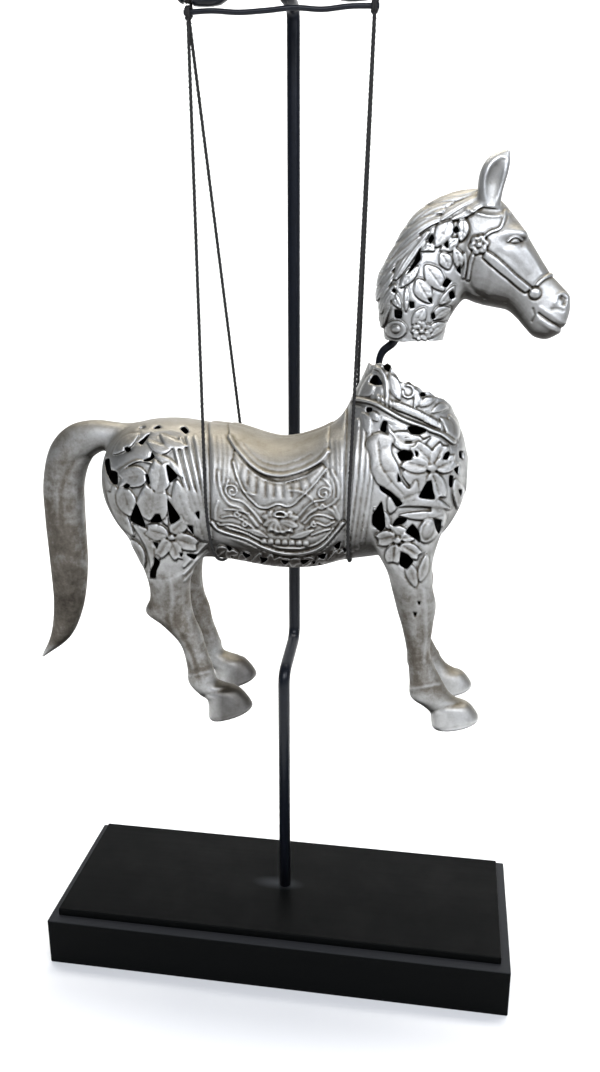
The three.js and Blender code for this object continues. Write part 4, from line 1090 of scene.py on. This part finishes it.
# %% [markdown]
# ## The head and neck
#
# The head is the finest casting here: a bridle with a rosette and a bit boss, a lidded eye, a nostril, a
# mane in thick locks, and leaf work down the neck. It gets a drawing of its own, in the plane y = -18, and
# smaller cells. The neck is hollow and open below, and the skull is solid.

# %% Head drawing
head_drawing = Drawing((58, 208), (508, 648), -18.0)
neck = head_drawing
neck.ground(
    curve([(80, 533), (84, 550), (92, 570), (106, 589), (124, 603), (130, 590), (126, 572), (125, 556),
           (121, 540), (118, 520), (90, 518)], 5, True), -0.8)
for middle, width in [
    ([(104, 520), (110, 527), (117, 531)], 8), ([(108, 533), (113, 538), (119, 541)], 8),
    ([(112, 543), (116.6, 548), (121.6, 556)], 6.5), ([(97, 568), (91, 562), (85, 554)], 8),
    ([(89, 555), (89.6, 547), (89.4, 538)], 4), ([(86, 540), (82, 546), (80, 552)], 6),
    ([(102, 541), (98.6, 535), (94, 529.4)], 9), ([(96, 560), (100, 553), (106, 544)], 12),
    ([(98, 578), (103, 581), (107, 578)], 7), ([(122.6, 586), (117, 582), (111, 578)], 9),
    ([(111, 577), (114.6, 572), (117, 566)], 9), ([(120, 580), (123, 573), (124, 566)], 7),
    ([(115.4, 600), (113, 591), (107.6, 580.4)], 12), ([(124, 600), (125, 592), (124, 584)], 8),
    ([(101, 569), (107.4, 561.4), (114.6, 552)], 12),
]:
    neck.leaf(middle, width, rise=1.7, veins=2, rib=0.4, edge=0.9)
for turn in range(0, 360, 72):
    a = math.radians(turn + 20)
    petal = [(100.6 + math.cos(a), 525 + math.sin(a)), (100.6 + 7.4 * math.cos(a), 525 + 6.8 * math.sin(a))]
    neck.leaf(petal, 6.4, rise=2.0, form="cup", heart=1.0, rib=0.5, edge=1.1, tip=0.6)
neck.plate(leaf_outline([(98.8, 525), (102.4, 525)], 3.6, 0.5), 2.6, 1.6)
neck.plate(leaf_outline([(75.6, 526), (90, 526)], 12.5, 0.45), 2.0, 1.0, "cup")
neck.plate(leaf_outline([(80, 526), (85.6, 526)], 5.4, 0.45), 2.4, 1.4)
for lock, width in [
    ([(99, 600), (112, 606.4), (125, 610.4), (140, 615.6)], 9),
    ([(104, 596), (114, 602), (126, 606), (140, 611)], 8), ([(73, 527), (73.6, 536), (78, 545)], 7),
    ([(72, 536), (75, 546), (82, 556)], 7.5), ([(69, 545), (73, 555), (80.6, 564)], 7.5),
    ([(69, 555), (74.6, 565), (84, 574)], 7.5), ([(81, 559), (86.6, 570), (93.6, 580), (103, 591)], 8),
    ([(72, 564), (80, 574), (88, 581), (97, 588)], 8),
    ([(76, 573), (84, 583), (93, 591), (103, 597), (115, 600)], 8),
    ([(80, 583), (88, 592), (97, 598.6), (109, 602.4)], 7),
    ([(96, 601.6), (104, 604.6), (113, 603.4)], 6.4),
    ([(88, 594), (96, 602), (106, 607.4), (118, 609)], 7),
    ([(98, 607), (110, 611.6), (123, 614), (135, 617.4)], 6.5),
    ([(110, 597.6), (118, 603), (127, 608), (138, 613)], 7),
    ([(117, 598), (126, 602), (134, 607), (141, 609)], 6),
]:
    neck.leaf(lock, width, rise=2.1, tip=0.5, rib=0, edge=0.7)
    middle = curve(lock, 5)
    for shift in (-0.22, 0.04, 0.28):
        beside = middle[1:-1] + np.array([-0.7, 0.7]) * shift * width
        neck.stroke(beside, 0.5, -0.5 if shift else -0.35)
face = head_drawing
face.stroke([(128, 604), (137, 601), (146, 600), (154, 602)], 1.2, 0.8, 5)
face.stroke([(155, 583.4), (159.4, 584.4), (163.4, 583.4)], 3.1, -0.9, 5)
eyeball = leaf_outline([(156.8, 583.5), (159.6, 584.4), (162.2, 583.7)], 3.0, 0.6)
face.plate(eyeball, 0.3, -0.3, "dome", gutter=0.12)
face.rail([(154.8, 584.2), (157.2, 586.3), (160.4, 586.9), (163.6, 585.0)], 0.8, 0.35, gutter=0.05)
face.stroke([(156, 582), (159.4, 581.3), (162.4, 582.2)], 0.8, 0.35, 5)
for points, half, lift in [
    ([(151, 588.6), (156.6, 591.6), (163, 591.4), (167, 589)], 2.6, 0.4),
    ([(166, 581), (172, 574), (178, 564)], 2.0, 0.6), ([(150, 577), (160, 572), (169, 563)], 2.6, -0.35),
    ([(131, 574), (130, 563), (134, 553), (144, 547.6), (156, 545.6)], 1.5, -0.5),
    ([(141, 548), (144, 558), (143, 570)], 2.4, -0.5),
]:
    face.stroke(points, half, lift, 5)
cheek_strap = np.vstack([
    curve([(140, 579), (147, 574.6), (154, 569), (161, 562.8), (168, 557.6), (172.6, 554)], 5),
    curve([(168, 551.4), (163, 554.8), (157, 559.6), (150.5, 564.4), (144.5, 569.2), (139.4, 573.6)], 5),
])
face.plate(cheek_strap, 0.9, 0.5, "flat", gutter=0.8)
for points, half, lift in [
    ([(139, 587), (143, 590), (149, 592.6), (151, 597), (152, 603)], 1.1, 1.7),
    ([(175.6, 556.7), (178, 559.4), (181, 561.7), (185, 563.6)], 1.2, 1.8),
    ([(133, 577), (131, 569.4), (130, 560)], 1.1, 1.5),
    ([(126.7, 576), (128, 569), (127, 561)], 0.9, 1.3),
]:
    face.rail(points, half * 1.2, lift * 0.62, gutter=0.3)
for turn in range(0, 360, 60):
    a = math.radians(turn + 12)
    petal = [(136 + r * math.cos(a), 582 + r * math.sin(a)) for r in (0.8, 6.4)]
    face.leaf(petal, 5.6, rise=1.8, rib=0.3, edge=0.9, tip=0.5)
face.plate(leaf_outline([(133.9, 582), (138.1, 582)], 4.2, 0.5), 2.5, 1.6)
face.plate(leaf_outline([(170.8, 551), (178.4, 551)], 7.6, 0.45), 2.2, 0.6)
# nostril, lips and mouth
for points, half, lift in [
    ([(191.8, 548.6), (194, 547), (193.8, 545)], 1.2, -1.6),
    ([(188, 545), (189.6, 550), (193.4, 551.6), (197, 549)], 1.3, 0.7),
    ([(186, 541), (189.6, 541.4), (193.6, 540)], 0.9, -0.6),
    ([(178, 538), (183, 534.6), (188, 531.6), (194, 528.4), (199, 527)], 0.8, -1.2),
    ([(179, 541.6), (185, 538), (192, 533.6), (199, 531)], 1.5, 0.5),
    ([(179, 533.6), (185, 529.4), (192, 525.4)], 1.5, 0.5),
    ([(174, 541), (175.4, 537), (174, 533)], 0.8, -0.8),
]:
    face.stroke(points, half, lift, 5)
for outline in [
    [(113, 555.6), (115.6, 560.6), (119, 558.4), (116, 554.4)],
    [(117.6, 551), (120.4, 552.6), (122, 548), (119, 546.6)],
    [(81.6, 539.4), (87, 538.6), (86.6, 533.6), (82, 534)],
    [(91.4, 545), (94.6, 544.4), (95, 541), (92, 540.6)],
    [(89, 563), (93.6, 571), (96.8, 579), (98.2, 573), (93, 566)],
    [(102.6, 585), (104.8, 588.6), (106.6, 586), (104, 582.6)],
    [(118.6, 591.4), (121, 594), (123, 590.6), (120, 589.4)], [(79, 552), (81, 554), (82, 550.6)],
    [(106.4, 536.6), (108.6, 538), (109.6, 534), (107, 533.4)],
    [(103.6, 546.6), (106.4, 548), (106.6, 543.4)], [(122, 566), (124.6, 569), (125, 563)],
    [(113, 582), (115.6, 584.6), (116, 579.6)],
]:
    neck.pierce(outline)
print("head drawing rises to", round(float(head_drawing.height.max()), 2), "mm")

# %% [markdown]
# ## The head's volume
#
# Neck and skull melt into each other under the jaw. The ears are scooped out on their outer sides, and they
# join last, so that the carving of the poll stays crisp around them.

# %% Head
NECK = [
    [74, 518, 116, 517.5, 20, 0], [71.5, 530, 118.5, 529, 21.5, 0], [67.5, 548, 122, 538, 22, 0],
    [71, 566, 126, 544, 21, 0], [80, 581, 129, 549, 19.5, 0], [92, 600, 131, 553, 18, 0],
    [110, 611.5, 135, 556, 16.5, 0], [130, 616.5, 141, 560, 15, 0], [143, 612, 144, 572, 12, 0],
]
HEAD = [
    [127, 590, 125, 560, 11, 0], [134, 610, 131, 546, 17, 0], [147, 611.5, 139, 542.5, 19.5, 0],
    [160, 599, 149, 540.5, 18.5, 0], [170, 585.5, 158, 538.5, 15.5, 0], [178, 573.5, 165, 533, 13, 0],
    [186, 562.5, 171, 526.5, 11.8, 0], [193.5, 555, 177.5, 520.8, 12, 0],
    [198.5, 549, 186, 519.5, 11.3, 0], [200, 542, 194, 524, 8, 0], [199.5, 536, 197.5, 530, 3, 0],
]
EAR = [
    [134.5, 606, 148.5, 605, 4.8, 10.5], [133.4, 619, 150, 616.5, 6.4, 10.8],
    [134.8, 629.5, 152.4, 626.5, 6.2, 11], [139.4, 636.5, 153.4, 633.4, 4.4, 11],
    [146, 640.2, 153, 637.8, 2.2, 10.8], [151, 641.4, 153, 640.2, 0.7, 10.5],
]
EAR_SCOOP = [
    [140.5, 608, 144.5, 607.4, 0.8, 15.6], [138.8, 615, 147.6, 613.6, 3.0, 16.4],
    [138.4, 623, 149.6, 620.6, 4.4, 17], [141, 631, 151, 628.2, 3.6, 17],
    [146, 636, 151.4, 634.4, 1.8, 16],
]
NECK_WALL = 2.6
NECK_BREAK_Z = 500
HEAD_FILLET, BROW_FILLET, EAR_FILLET, SCOOP_FILLET = 7, 6, 2.5, 1.6
HEAD_SOLID_MIDDLE = 6
HEAD_FACES = 180000
# the brow over each eye is an oval swelling: its centre and its half sizes
BROW, BROW_HALF = (158.5, 11, 588.6), (7, 4.5, 3.4)

cell = 0.52
head_volume = Volume((60, -28, 508), (206, 28, 645), cell)
neck_core = head_volume.distance(loft(NECK, 48, 2.1))
skull_core = head_volume.distance(loft(HEAD, 48, 2.2))
head_core = melt(neck_core, skull_core, HEAD_FILLET)
brow = np.sqrt(
    ((head_volume.x[:, None, None] - BROW[0]) / BROW_HALF[0]) ** 2
    + ((np.abs(head_volume.y)[None, :, None] - BROW[1]) / BROW_HALF[1]) ** 2
    + ((head_volume.z[None, None, :] - BROW[2]) / BROW_HALF[2]) ** 2
)
head_core = melt(head_core, ((brow - 1) * 4).astype(np.float32), BROW_FILLET)
head_carved = carve(head_volume, head_core, head_drawing, HEAD_SOLID_MIDDLE, fade=(-0.4, -0.1))
# the hollow runs on below the neck, so that the casting is open there
inside_neck = loft([[74, NECK_BREAK_Z, 116, NECK_BREAK_Z - 0.5, 20, 0], *NECK[:7]], 40, 2.1)
below_neck = 0.6 - head_volume.z[None, None, :] + NECK_BREAK_Z
hollow = np.maximum(head_volume.distance(inside_neck) + NECK_WALL, below_neck)
head_carved = np.maximum(head_carved, -hollow)
for side in (-1, 1):
    shell, scoop = (
        head_volume.distance(loft([[*row[:5], row[5] * side] for row in rows], 28))
        for rows in (EAR, EAR_SCOOP)
    )
    head_carved = melt(head_carved, -melt(-shell, scoop, SCOOP_FILLET), EAR_FILLET)
horse_head = to_piece(
    "horse_head_carved", head_volume, head_carved, np.minimum(head_core, 0.4), HEAD_FACES, cast_metal
)
del head_carved, hollow
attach(horse_head, "root")
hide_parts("horse_head")

# %% [markdown]
# ## Rod, bars and link
#
# These are round iron. The rod is one bar, bent three times and set into the plinth, with the same bends as
# in the CAD part but enough sides to shine along its length. The hanger bar is a turned shape, so its outline
# is spun round its own line. A thin hand-bent rod keeps the slings apart.

# %% Round iron
ROD_RADIUS = 4.75
PLINTH_TOP = 49.2
CRANK_Z, HANGER_Z, SPREADER_Z = 250.0, 741.5, 729.0
CRANK_Y, BEND = 53.175, 11.0
ROD_SUNK = 28
SPREADER_RADIUS, SPREADER_LENGTH = 1.8, 130


def sweep(path, radii, sides=32):
    """Points and faces of a round bar along a path, closed at both ends."""
    path = np.array(path, float)
    radii = np.broadcast_to(radii, len(path))
    forward = np.gradient(path, axis=0)
    forward /= np.linalg.norm(forward, axis=1)[:, None]
    across = np.array([1.0, 0.02, 0.01]) if abs(forward[0][0]) < 0.9 else np.array([0.0, 1.0, 0.02])
    points, faces = [], []
    for place, ahead, radius in zip(path, forward, radii):
        across = across - ahead * (across @ ahead)
        across /= np.linalg.norm(across)
        up = np.cross(ahead, across)
        angle = np.arange(sides) / sides * 2 * np.pi
        points += list(place + radius * (np.outer(np.cos(angle), across) + np.outer(np.sin(angle), up)))
    for r in range(len(path) - 1):
        for s in range(sides):
            a, b = r * sides + s, r * sides + (s + 1) % sides
            faces.append((a, b, b + sides, a + sides))
    faces.append(tuple(range(sides))[::-1])
    faces.append(tuple(range((len(path) - 1) * sides, len(path) * sides)))
    return points, faces


def bend(before, corner, after, size, steps=12):
    """A rounded corner between two straight runs."""
    before, corner, after = (np.array(p, float) for p in (before, corner, after))
    start = corner + (before - corner) / np.linalg.norm(before - corner) * size
    end = corner + (after - corner) / np.linalg.norm(after - corner) * size
    t = np.linspace(0, 1, steps)[:, None]
    return list((1 - t) ** 2 * start + 2 * t * (1 - t) * corner + t**2 * end)


foot, low = (0, 0, PLINTH_TOP - ROD_SUNK), (0, 0, CRANK_Z)
back, top, nose = (0, CRANK_Y, CRANK_Z + BEND), (0, CRANK_Y, HANGER_Z), (0, ROD_RADIUS + 0.3, HANGER_Z)
rod_path = [foot]
for before, corner, after in ((foot, low, back), (low, back, top), (back, top, nose)):
    rod_path += bend(before, corner, after, BEND)
rod_path.append(nose)
stand_rod = mesh_object("stand_rod_painted", *sweep(rod_path, ROD_RADIUS), black_iron)
HITCH_X = 62.0
grip_end = HITCH_X + 3 + 4
half_outline = [
    (grip_end - 36, 4.75), (grip_end - 33, 6.4), (grip_end - 29, 8.7), (grip_end - 24, 9.4),
    (grip_end - 20, 9.5), (grip_end - 14, 9.3), (HITCH_X - 4, 8.9), (HITCH_X - 2.6, 6.4),
    (HITCH_X - 2.4, 4.75), (HITCH_X + 2.4, 4.75), (HITCH_X + 2.8, 6.2), (HITCH_X + 3.8, 7.4),
    (grip_end - 1.4, 6.6), (grip_end, 5.2),
]
outline = [(-x, r) for x, r in half_outline[::-1]] + half_outline
hanger_form = sweep([(x, 0, HANGER_Z) for x, r in outline], [r for x, r in outline], 40)
hanger_bar = mesh_object("hanger_bar_turned", *hanger_form, black_iron)
wobble = [0, 0.6, -1, -0.4, 0.8, -0.9, 0.5, 0]
bent = [((i / 7 - 0.5) * SPREADER_LENGTH, 0, SPREADER_Z + up * 0.9) for i, up in enumerate(wobble)]
spreader_bar = mesh_object("spreader_bar_bent", *sweep(curve(bent, 8), SPREADER_RADIUS, 20), black_iron)
LINK = [
    (86, 534, 3.4), (82.4, 522, 3.3), (80.2, 515.5, 3), (73, 509, 2.8), (70.5, 502, 2.5), (71.5, 484, 2.5),
]
link_path = curve([(x, 0, z, r) for x, z, r in LINK], 8)
neck_link = mesh_object("neck_link_bent", *sweep(link_path[:, :3], link_path[:, 3], 24), black_iron)
for piece, node in (
    (stand_rod, "stand_rod"), (hanger_bar, "hanger_bar"), (spreader_bar, "spreader_bar"),
    (neck_link, "neck_link"),
):
    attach(piece, "root")
    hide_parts(node)
print("rod path has", len(rod_path), "points")

# %% [markdown]
# ## The plinth
#
# A painted block carries a thinner panel that is set in from its edges. Boards like these have their edges
# broken with sandpaper, and that thin round is what catches the light. A Bevel modifier makes it.

# %% Plinth
BLOCK_LENGTH, BLOCK_WIDTH, BLOCK_TOP = 380, 138, 42
PANEL_LENGTH, PANEL_WIDTH, PANEL_LOW = 365.2, 123.2, 42.3


def board(name, length, width, low_z, high_z, edge):
    """A board with softly broken edges."""
    x, y = length / 2, width / 2
    points = [(sx * x, sy * y, z) for z in (low_z, high_z) for sx, sy in ((1, 1), (-1, 1), (-1, -1), (1, -1))]
    faces = [(3, 2, 1, 0), (4, 5, 6, 7), (0, 1, 5, 4), (1, 2, 6, 5), (2, 3, 7, 6), (3, 0, 4, 7)]
    made = mesh_object(name, points, faces, plinth_wood)
    soft = made.modifiers.new("broken edge", "BEVEL")
    soft.width, soft.segments, soft.harden_normals = edge * MM, 4, True
    return made


base_block = board("base_block_painted", BLOCK_LENGTH, BLOCK_WIDTH, 0, BLOCK_TOP, 1.2)
base_top_panel = board("base_top_panel_painted", PANEL_LENGTH, PANEL_WIDTH, PANEL_LOW, PLINTH_TOP, 1.0)
for piece, node in ((base_block, "base_block"), (base_top_panel, "base_top_panel")):
    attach(piece, "root")
    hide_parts(node)
print("plinth", [round(n * 1000) for n in base_block.dimensions])

# %% [markdown]
# ## Twisted slings
#
# Each sling is one cord: wrapped round the spreader and the hanger, down the near side, under the belly
# and up the far side. Geometry Nodes follow that path, because a cord is a rule: a three-lobed profile
# that turns a set number of degrees per millimetre gives the lay of the strands, and short fibres stand
# out of it at random with a fixed seed.

# %% Cord path and nodes
CORD_RADIUS, STAND_OFF, UNDER_CLOSER = 1.2, 3.0, 1.6
# the loop leaves this far under the spreader's line, and a turn lies this far off the bar it is round
LOOP_DROP, TURN_GAP = 3.6, 0.2
LOOP_POINTS = 29


def barrel_at(x):
    """Top, underside and half width of the barrel where a sling crosses it."""
    rows = np.array(TORSO, float)
    return [np.interp(x, rows[:, 0], rows[:, n]) for n in (1, 3, 4)]


def sling_paths(hitch, near, far):
    """The sling's loop, and its turns round the spreader and the hanger bar."""
    loop = [(hitch * HITCH_X, -1.5, SPREADER_Z - LOOP_DROP)]
    last = LOOP_POINTS - 1
    for i in range(LOOP_POINTS):
        turn, x = math.radians(-15 + 210 * i / last), near + (far - near) * i / last
        top_z, low_z, half = barrel_at(x)
        fuller = [math.copysign(abs(v) ** (2 / 2.25), v) for v in (math.cos(turn), math.sin(turn))]
        middle = (top_z + low_z) / 2
        off = STAND_OFF - UNDER_CLOSER * float(ease(np.array(fuller[1]), 0.72, 0.96))
        loop.append((x, -fuller[0] * (half + off), middle - fuller[1] * ((top_z - low_z) / 2 + off)))
    loop.append((hitch * HITCH_X, 1.5, SPREADER_Z - LOOP_DROP))
    turns = []
    for height, bar, count in ((SPREADER_Z, SPREADER_RADIUS, 2.5), (HANGER_Z, ROD_RADIUS, 2.0)):
        radius = bar + CORD_RADIUS + TURN_GAP
        angle = np.linspace(0, count * 2 * np.pi, int(count * 20))
        along = np.linspace(-2.4, 2.4, len(angle)) * 0.5 * (count / 2)
        across, up = radius * np.sin(angle), height - radius * np.cos(angle)
        turns.append(np.stack([hitch * HITCH_X + along, across, up], 1))
    link = [(0.6, 3.2, SPREADER_Z), (0.8, 4.6, SPREADER_Z + 5), (0.8, 6.1, HANGER_Z)]
    link = [(hitch * HITCH_X + x, y, z) for x, y, z in link]
    return [loop, turns[0], turns[1], link]


def socket_on(tree, name, kind, value):
    """An input of a node group, by its identifier."""
    made = tree.interface.new_socket(name=name, in_out="INPUT", socket_type=kind)
    made.default_value = value
    return made.identifier


cord_tree = bpy.data.node_groups.new("twisted cord along a path", "GeometryNodeTree")
cord_tree.interface.new_socket(name="Path", in_out="INPUT", socket_type="NodeSocketGeometry")
cord_inputs = {
    "radius": socket_on(cord_tree, "Cord radius", "NodeSocketFloat", 0.0012),
    "step": socket_on(cord_tree, "Step along the cord", "NodeSocketFloat", 0.0012),
    "lay": socket_on(cord_tree, "Turn per step in degrees", "NodeSocketFloat", 40.0),
    "fuzz": socket_on(cord_tree, "Length of a fibre", "NodeSocketFloat", 0.0022),
    "seed": socket_on(cord_tree, "Seed", "NodeSocketInt", 7),
}
cord_tree.interface.new_socket(name="Cord", in_out="OUTPUT", socket_type="NodeSocketGeometry")
given = add(cord_tree, "NodeGroupInput").outputs
fine = add(
    cord_tree,
    "GeometryNodeResampleCurve",
    {"Curve": given["Path"], "Length": given["Step along the cord"]},
    mode="LENGTH",
)
number = add(cord_tree, "GeometryNodeInputIndex").outputs[0]
degrees = add(
    cord_tree, "ShaderNodeMath", {0: number, 1: given["Turn per step in degrees"]}, operation="MULTIPLY"
)
radians = add(cord_tree, "ShaderNodeMath", {0: degrees.outputs[0]}, operation="RADIANS")
tilted = add(cord_tree, "GeometryNodeSetCurveTilt", {"Curve": fine.outputs[0], "Tilt": radians.outputs[0]})
# the profile is a circle whose radius swells three times on its way round: three strands
circle = add(cord_tree, "GeometryNodeCurvePrimitiveCircle", {"Resolution": 12, "Radius": 1.0})
spot = add(cord_tree, "GeometryNodeInputPosition").outputs[0]
parts = add(cord_tree, "ShaderNodeSeparateXYZ", {0: spot})
angle = add(cord_tree, "ShaderNodeMath", {0: parts.outputs["Y"], 1: parts.outputs["X"]}, operation="ARCTAN2")
thrice = add(cord_tree, "ShaderNodeMath", {0: angle.outputs[0], 1: 3.0}, operation="MULTIPLY")
swell = add(cord_tree, "ShaderNodeMath", {0: thrice.outputs[0]}, operation="COSINE")
share = add(cord_tree, "ShaderNodeMath", {0: swell.outputs[0], 1: 0.13, 2: 0.97}, operation="MULTIPLY_ADD")
reach = add(cord_tree, "ShaderNodeMath", {0: share.outputs[0], 1: given["Cord radius"]}, operation="MULTIPLY")
lobed = add(cord_tree, "ShaderNodeVectorMath", {0: spot, "Scale": reach.outputs[0]}, operation="SCALE")
profile = add(
    cord_tree, "GeometryNodeSetPosition", {"Geometry": circle.outputs[0], "Position": lobed.outputs[0]}
)
strand = add(
    cord_tree,
    "GeometryNodeCurveToMesh",
    {"Curve": tilted.outputs[0], "Profile Curve": profile.outputs[0], "Fill Caps": True},
)
# fibres: thin tapering cones that start on the cord and lean at random
fibre_line = add(
    cord_tree,
    "GeometryNodeMeshCone",
    {"Vertices": 3, "Radius Top": 0.00005, "Radius Bottom": 0.0001, "Depth": given["Length of a fibre"]},
)
places = add(
    cord_tree,
    "GeometryNodeDistributePointsOnFaces",
    {"Mesh": strand.outputs[0], "Density": 260000.0, "Seed": given["Seed"]},
)
lean = add(
    cord_tree,
    "FunctionNodeRandomValue",
    {0: (-0.9, -0.9, -3.1), 1: (0.9, 0.9, 3.1), "Seed": given["Seed"]},
    data_type="FLOAT_VECTOR",
)
turned = add(cord_tree, "FunctionNodeRotateRotation", {0: places.outputs["Rotation"]}, rotation_space="LOCAL")
lean_rotation = add(cord_tree, "FunctionNodeEulerToRotation", {0: lean.outputs[0]})
cord_tree.links.new(lean_rotation.outputs[0], turned.inputs[1])
length = add(
    cord_tree, "FunctionNodeRandomValue", {2: 0.35, 3: 1.0, "Seed": given["Seed"]}, data_type="FLOAT"
)
fibres = add(
    cord_tree,
    "GeometryNodeInstanceOnPoints",
    {
        "Points": places.outputs[0],
        "Instance": fibre_line.outputs[0],
        "Rotation": turned.outputs[0],
        "Scale": length.outputs[1],
    },
)
whole = add(cord_tree, "GeometryNodeJoinGeometry")
cord_tree.links.new(strand.outputs[0], whole.inputs[0])
cord_tree.links.new(fibres.outputs[0], whole.inputs[0])
real = add(cord_tree, "GeometryNodeRealizeInstances", {0: whole.outputs[0]})
finished = add(cord_tree, "GeometryNodeSetMaterial", {"Geometry": real.outputs[0], "Material": black_cord})
add(cord_tree, "NodeGroupOutput", {0: finished.outputs[0]})
print("cord tree has", len(cord_tree.nodes), "nodes")

# %% [markdown]
# ## Both slings
#
# The tree runs on a plain curve, the result is kept as a mesh, and the curve is removed.

# %% Slings
for name, node, hitch, near, far, seed in (
    ("rear_sling_twisted", "rear_sling", -1, -49, -39, 7),
    ("front_sling_twisted", "front_sling", 1, 55.5, 50, 11),
):
    path = bpy.data.curves.new(name + "_path", "CURVE")
    path.dimensions = "3D"
    for points in sling_paths(hitch, near, far):
        line = path.splines.new("POLY")
        line.points.add(len(points) - 1)
        for at, point in zip(line.points, points):
            at.co = (*(v * MM for v in point), 1)
    guide = bpy.data.objects.new(name + "_path", path)
    bpy.context.scene.collection.objects.link(guide)
    modifier = guide.modifiers.new("cord", "NODES")
    modifier.node_group = cord_tree
    modifier[cord_inputs["seed"]] = seed
    modifier[cord_inputs["radius"]] = CORD_RADIUS * MM
    graph = bpy.context.evaluated_depsgraph_get()
    data = bpy.data.meshes.new_from_object(guide.evaluated_get(graph))
    guide.modifiers.clear()
    bpy.data.objects.remove(guide)
    data.name = name
    data.materials.clear()
    data.materials.append(black_cord)
    data.polygons.foreach_set("material_index", [0] * len(data.polygons))
    data.polygons.foreach_set("use_smooth", [True] * len(data.polygons))
    sling = bpy.data.objects.new(name, data)
    bpy.context.scene.collection.objects.link(sling)
    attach(sling, "root")
    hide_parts(node)
    print(name, len(data.polygons), "faces")

# %% [markdown]
# ## Floor, light and camera
#
# The photograph has the object on plain white. A pale floor with a pale wall far behind it gives the same,
# with a soft contact shadow. Polished metal only shows what it reflects, so the room behind the camera is
# kept dim and three soft boxes stand in it: a broad one above the camera, a cool one to the right, and a weak
# warm one above and behind. A fourth lights only the wall.

# %% Stage
floor_paint, tree, shader = material("paper_backdrop_white")
shader.inputs["Base Color"].default_value = linear("#f2f2f1")
shader.inputs["Roughness"].default_value = 0.9
shader.inputs["Specular IOR Level"].default_value = 0.1
sweep_line = [(-2500, 0), (1500, 0)] + [
    (1500 + 900 * math.sin(a), 900 - 900 * math.cos(a)) for a in np.linspace(0.1, math.pi / 2, 12)
] + [(2400, 4500)]
floor_points = [(x, y, z) for y, z in sweep_line for x in (-5000, 5000)]
floor_faces = [(2 * i, 2 * i + 1, 2 * i + 3, 2 * i + 2) for i in range(len(sweep_line) - 1)]
floor = mesh_object("paper_sweep", floor_points, floor_faces, floor_paint)

world = bpy.data.worlds.new("dim room")
bpy.context.scene.world = world
world.use_nodes = True
world.node_tree.nodes["Background"].inputs["Color"].default_value = linear("#8b8f95")
world.node_tree.nodes["Background"].inputs["Strength"].default_value = 0.38


def soft_box(name, place, target, size, power, colour):
    """A soft box that looks at a point."""
    light = bpy.data.lights.new(name, "AREA")
    light.shape, light.size, light.size_y, light.energy = "RECTANGLE", size[0], size[1], power
    light.color = linear(colour)[:3]
    made = bpy.data.objects.new(name, light)
    made.location = place
    made.rotation_euler = (Vector(target) - Vector(place)).to_track_quat("-Z", "Y").to_euler()
    bpy.context.scene.collection.objects.link(made)
    return made


soft_box("key", (0.15, -1.6, 1.6), (0, 0, 0.45), (1.3, 0.7), 37, "#eef1f9")
soft_box("cool side", (1.2, -0.9, 1.3), (0.1, 0, 0.45), (0.8, 0.8), 14, "#e6ebf6")
soft_box("top", (0.1, 0.5, 2.1), (0, 0, 0.4), (1.0, 0.5), 7, "#fff3df")
soft_box("backdrop", (0, 0.6, 2.6), (0, 2.4, 0.9), (3.0, 1.0), 120, "#ffffff")

view_camera = bpy.data.cameras.new("photo camera")
view_camera.lens, view_camera.sensor_width, view_camera.sensor_fit = 32.05, 36, "AUTO"
view_camera.clip_start, view_camera.clip_end = 0.02, 30
camera = bpy.data.objects.new("photo camera", view_camera)
camera.location = (0.12249, -0.68952, 0.59047)
camera.rotation_euler = (math.radians(72.301), 0, math.radians(9.011))
bpy.context.scene.collection.objects.link(camera)
bpy.context.scene.camera = camera
bpy.context.scene.view_settings.view_transform = "Standard"
print("stage set")
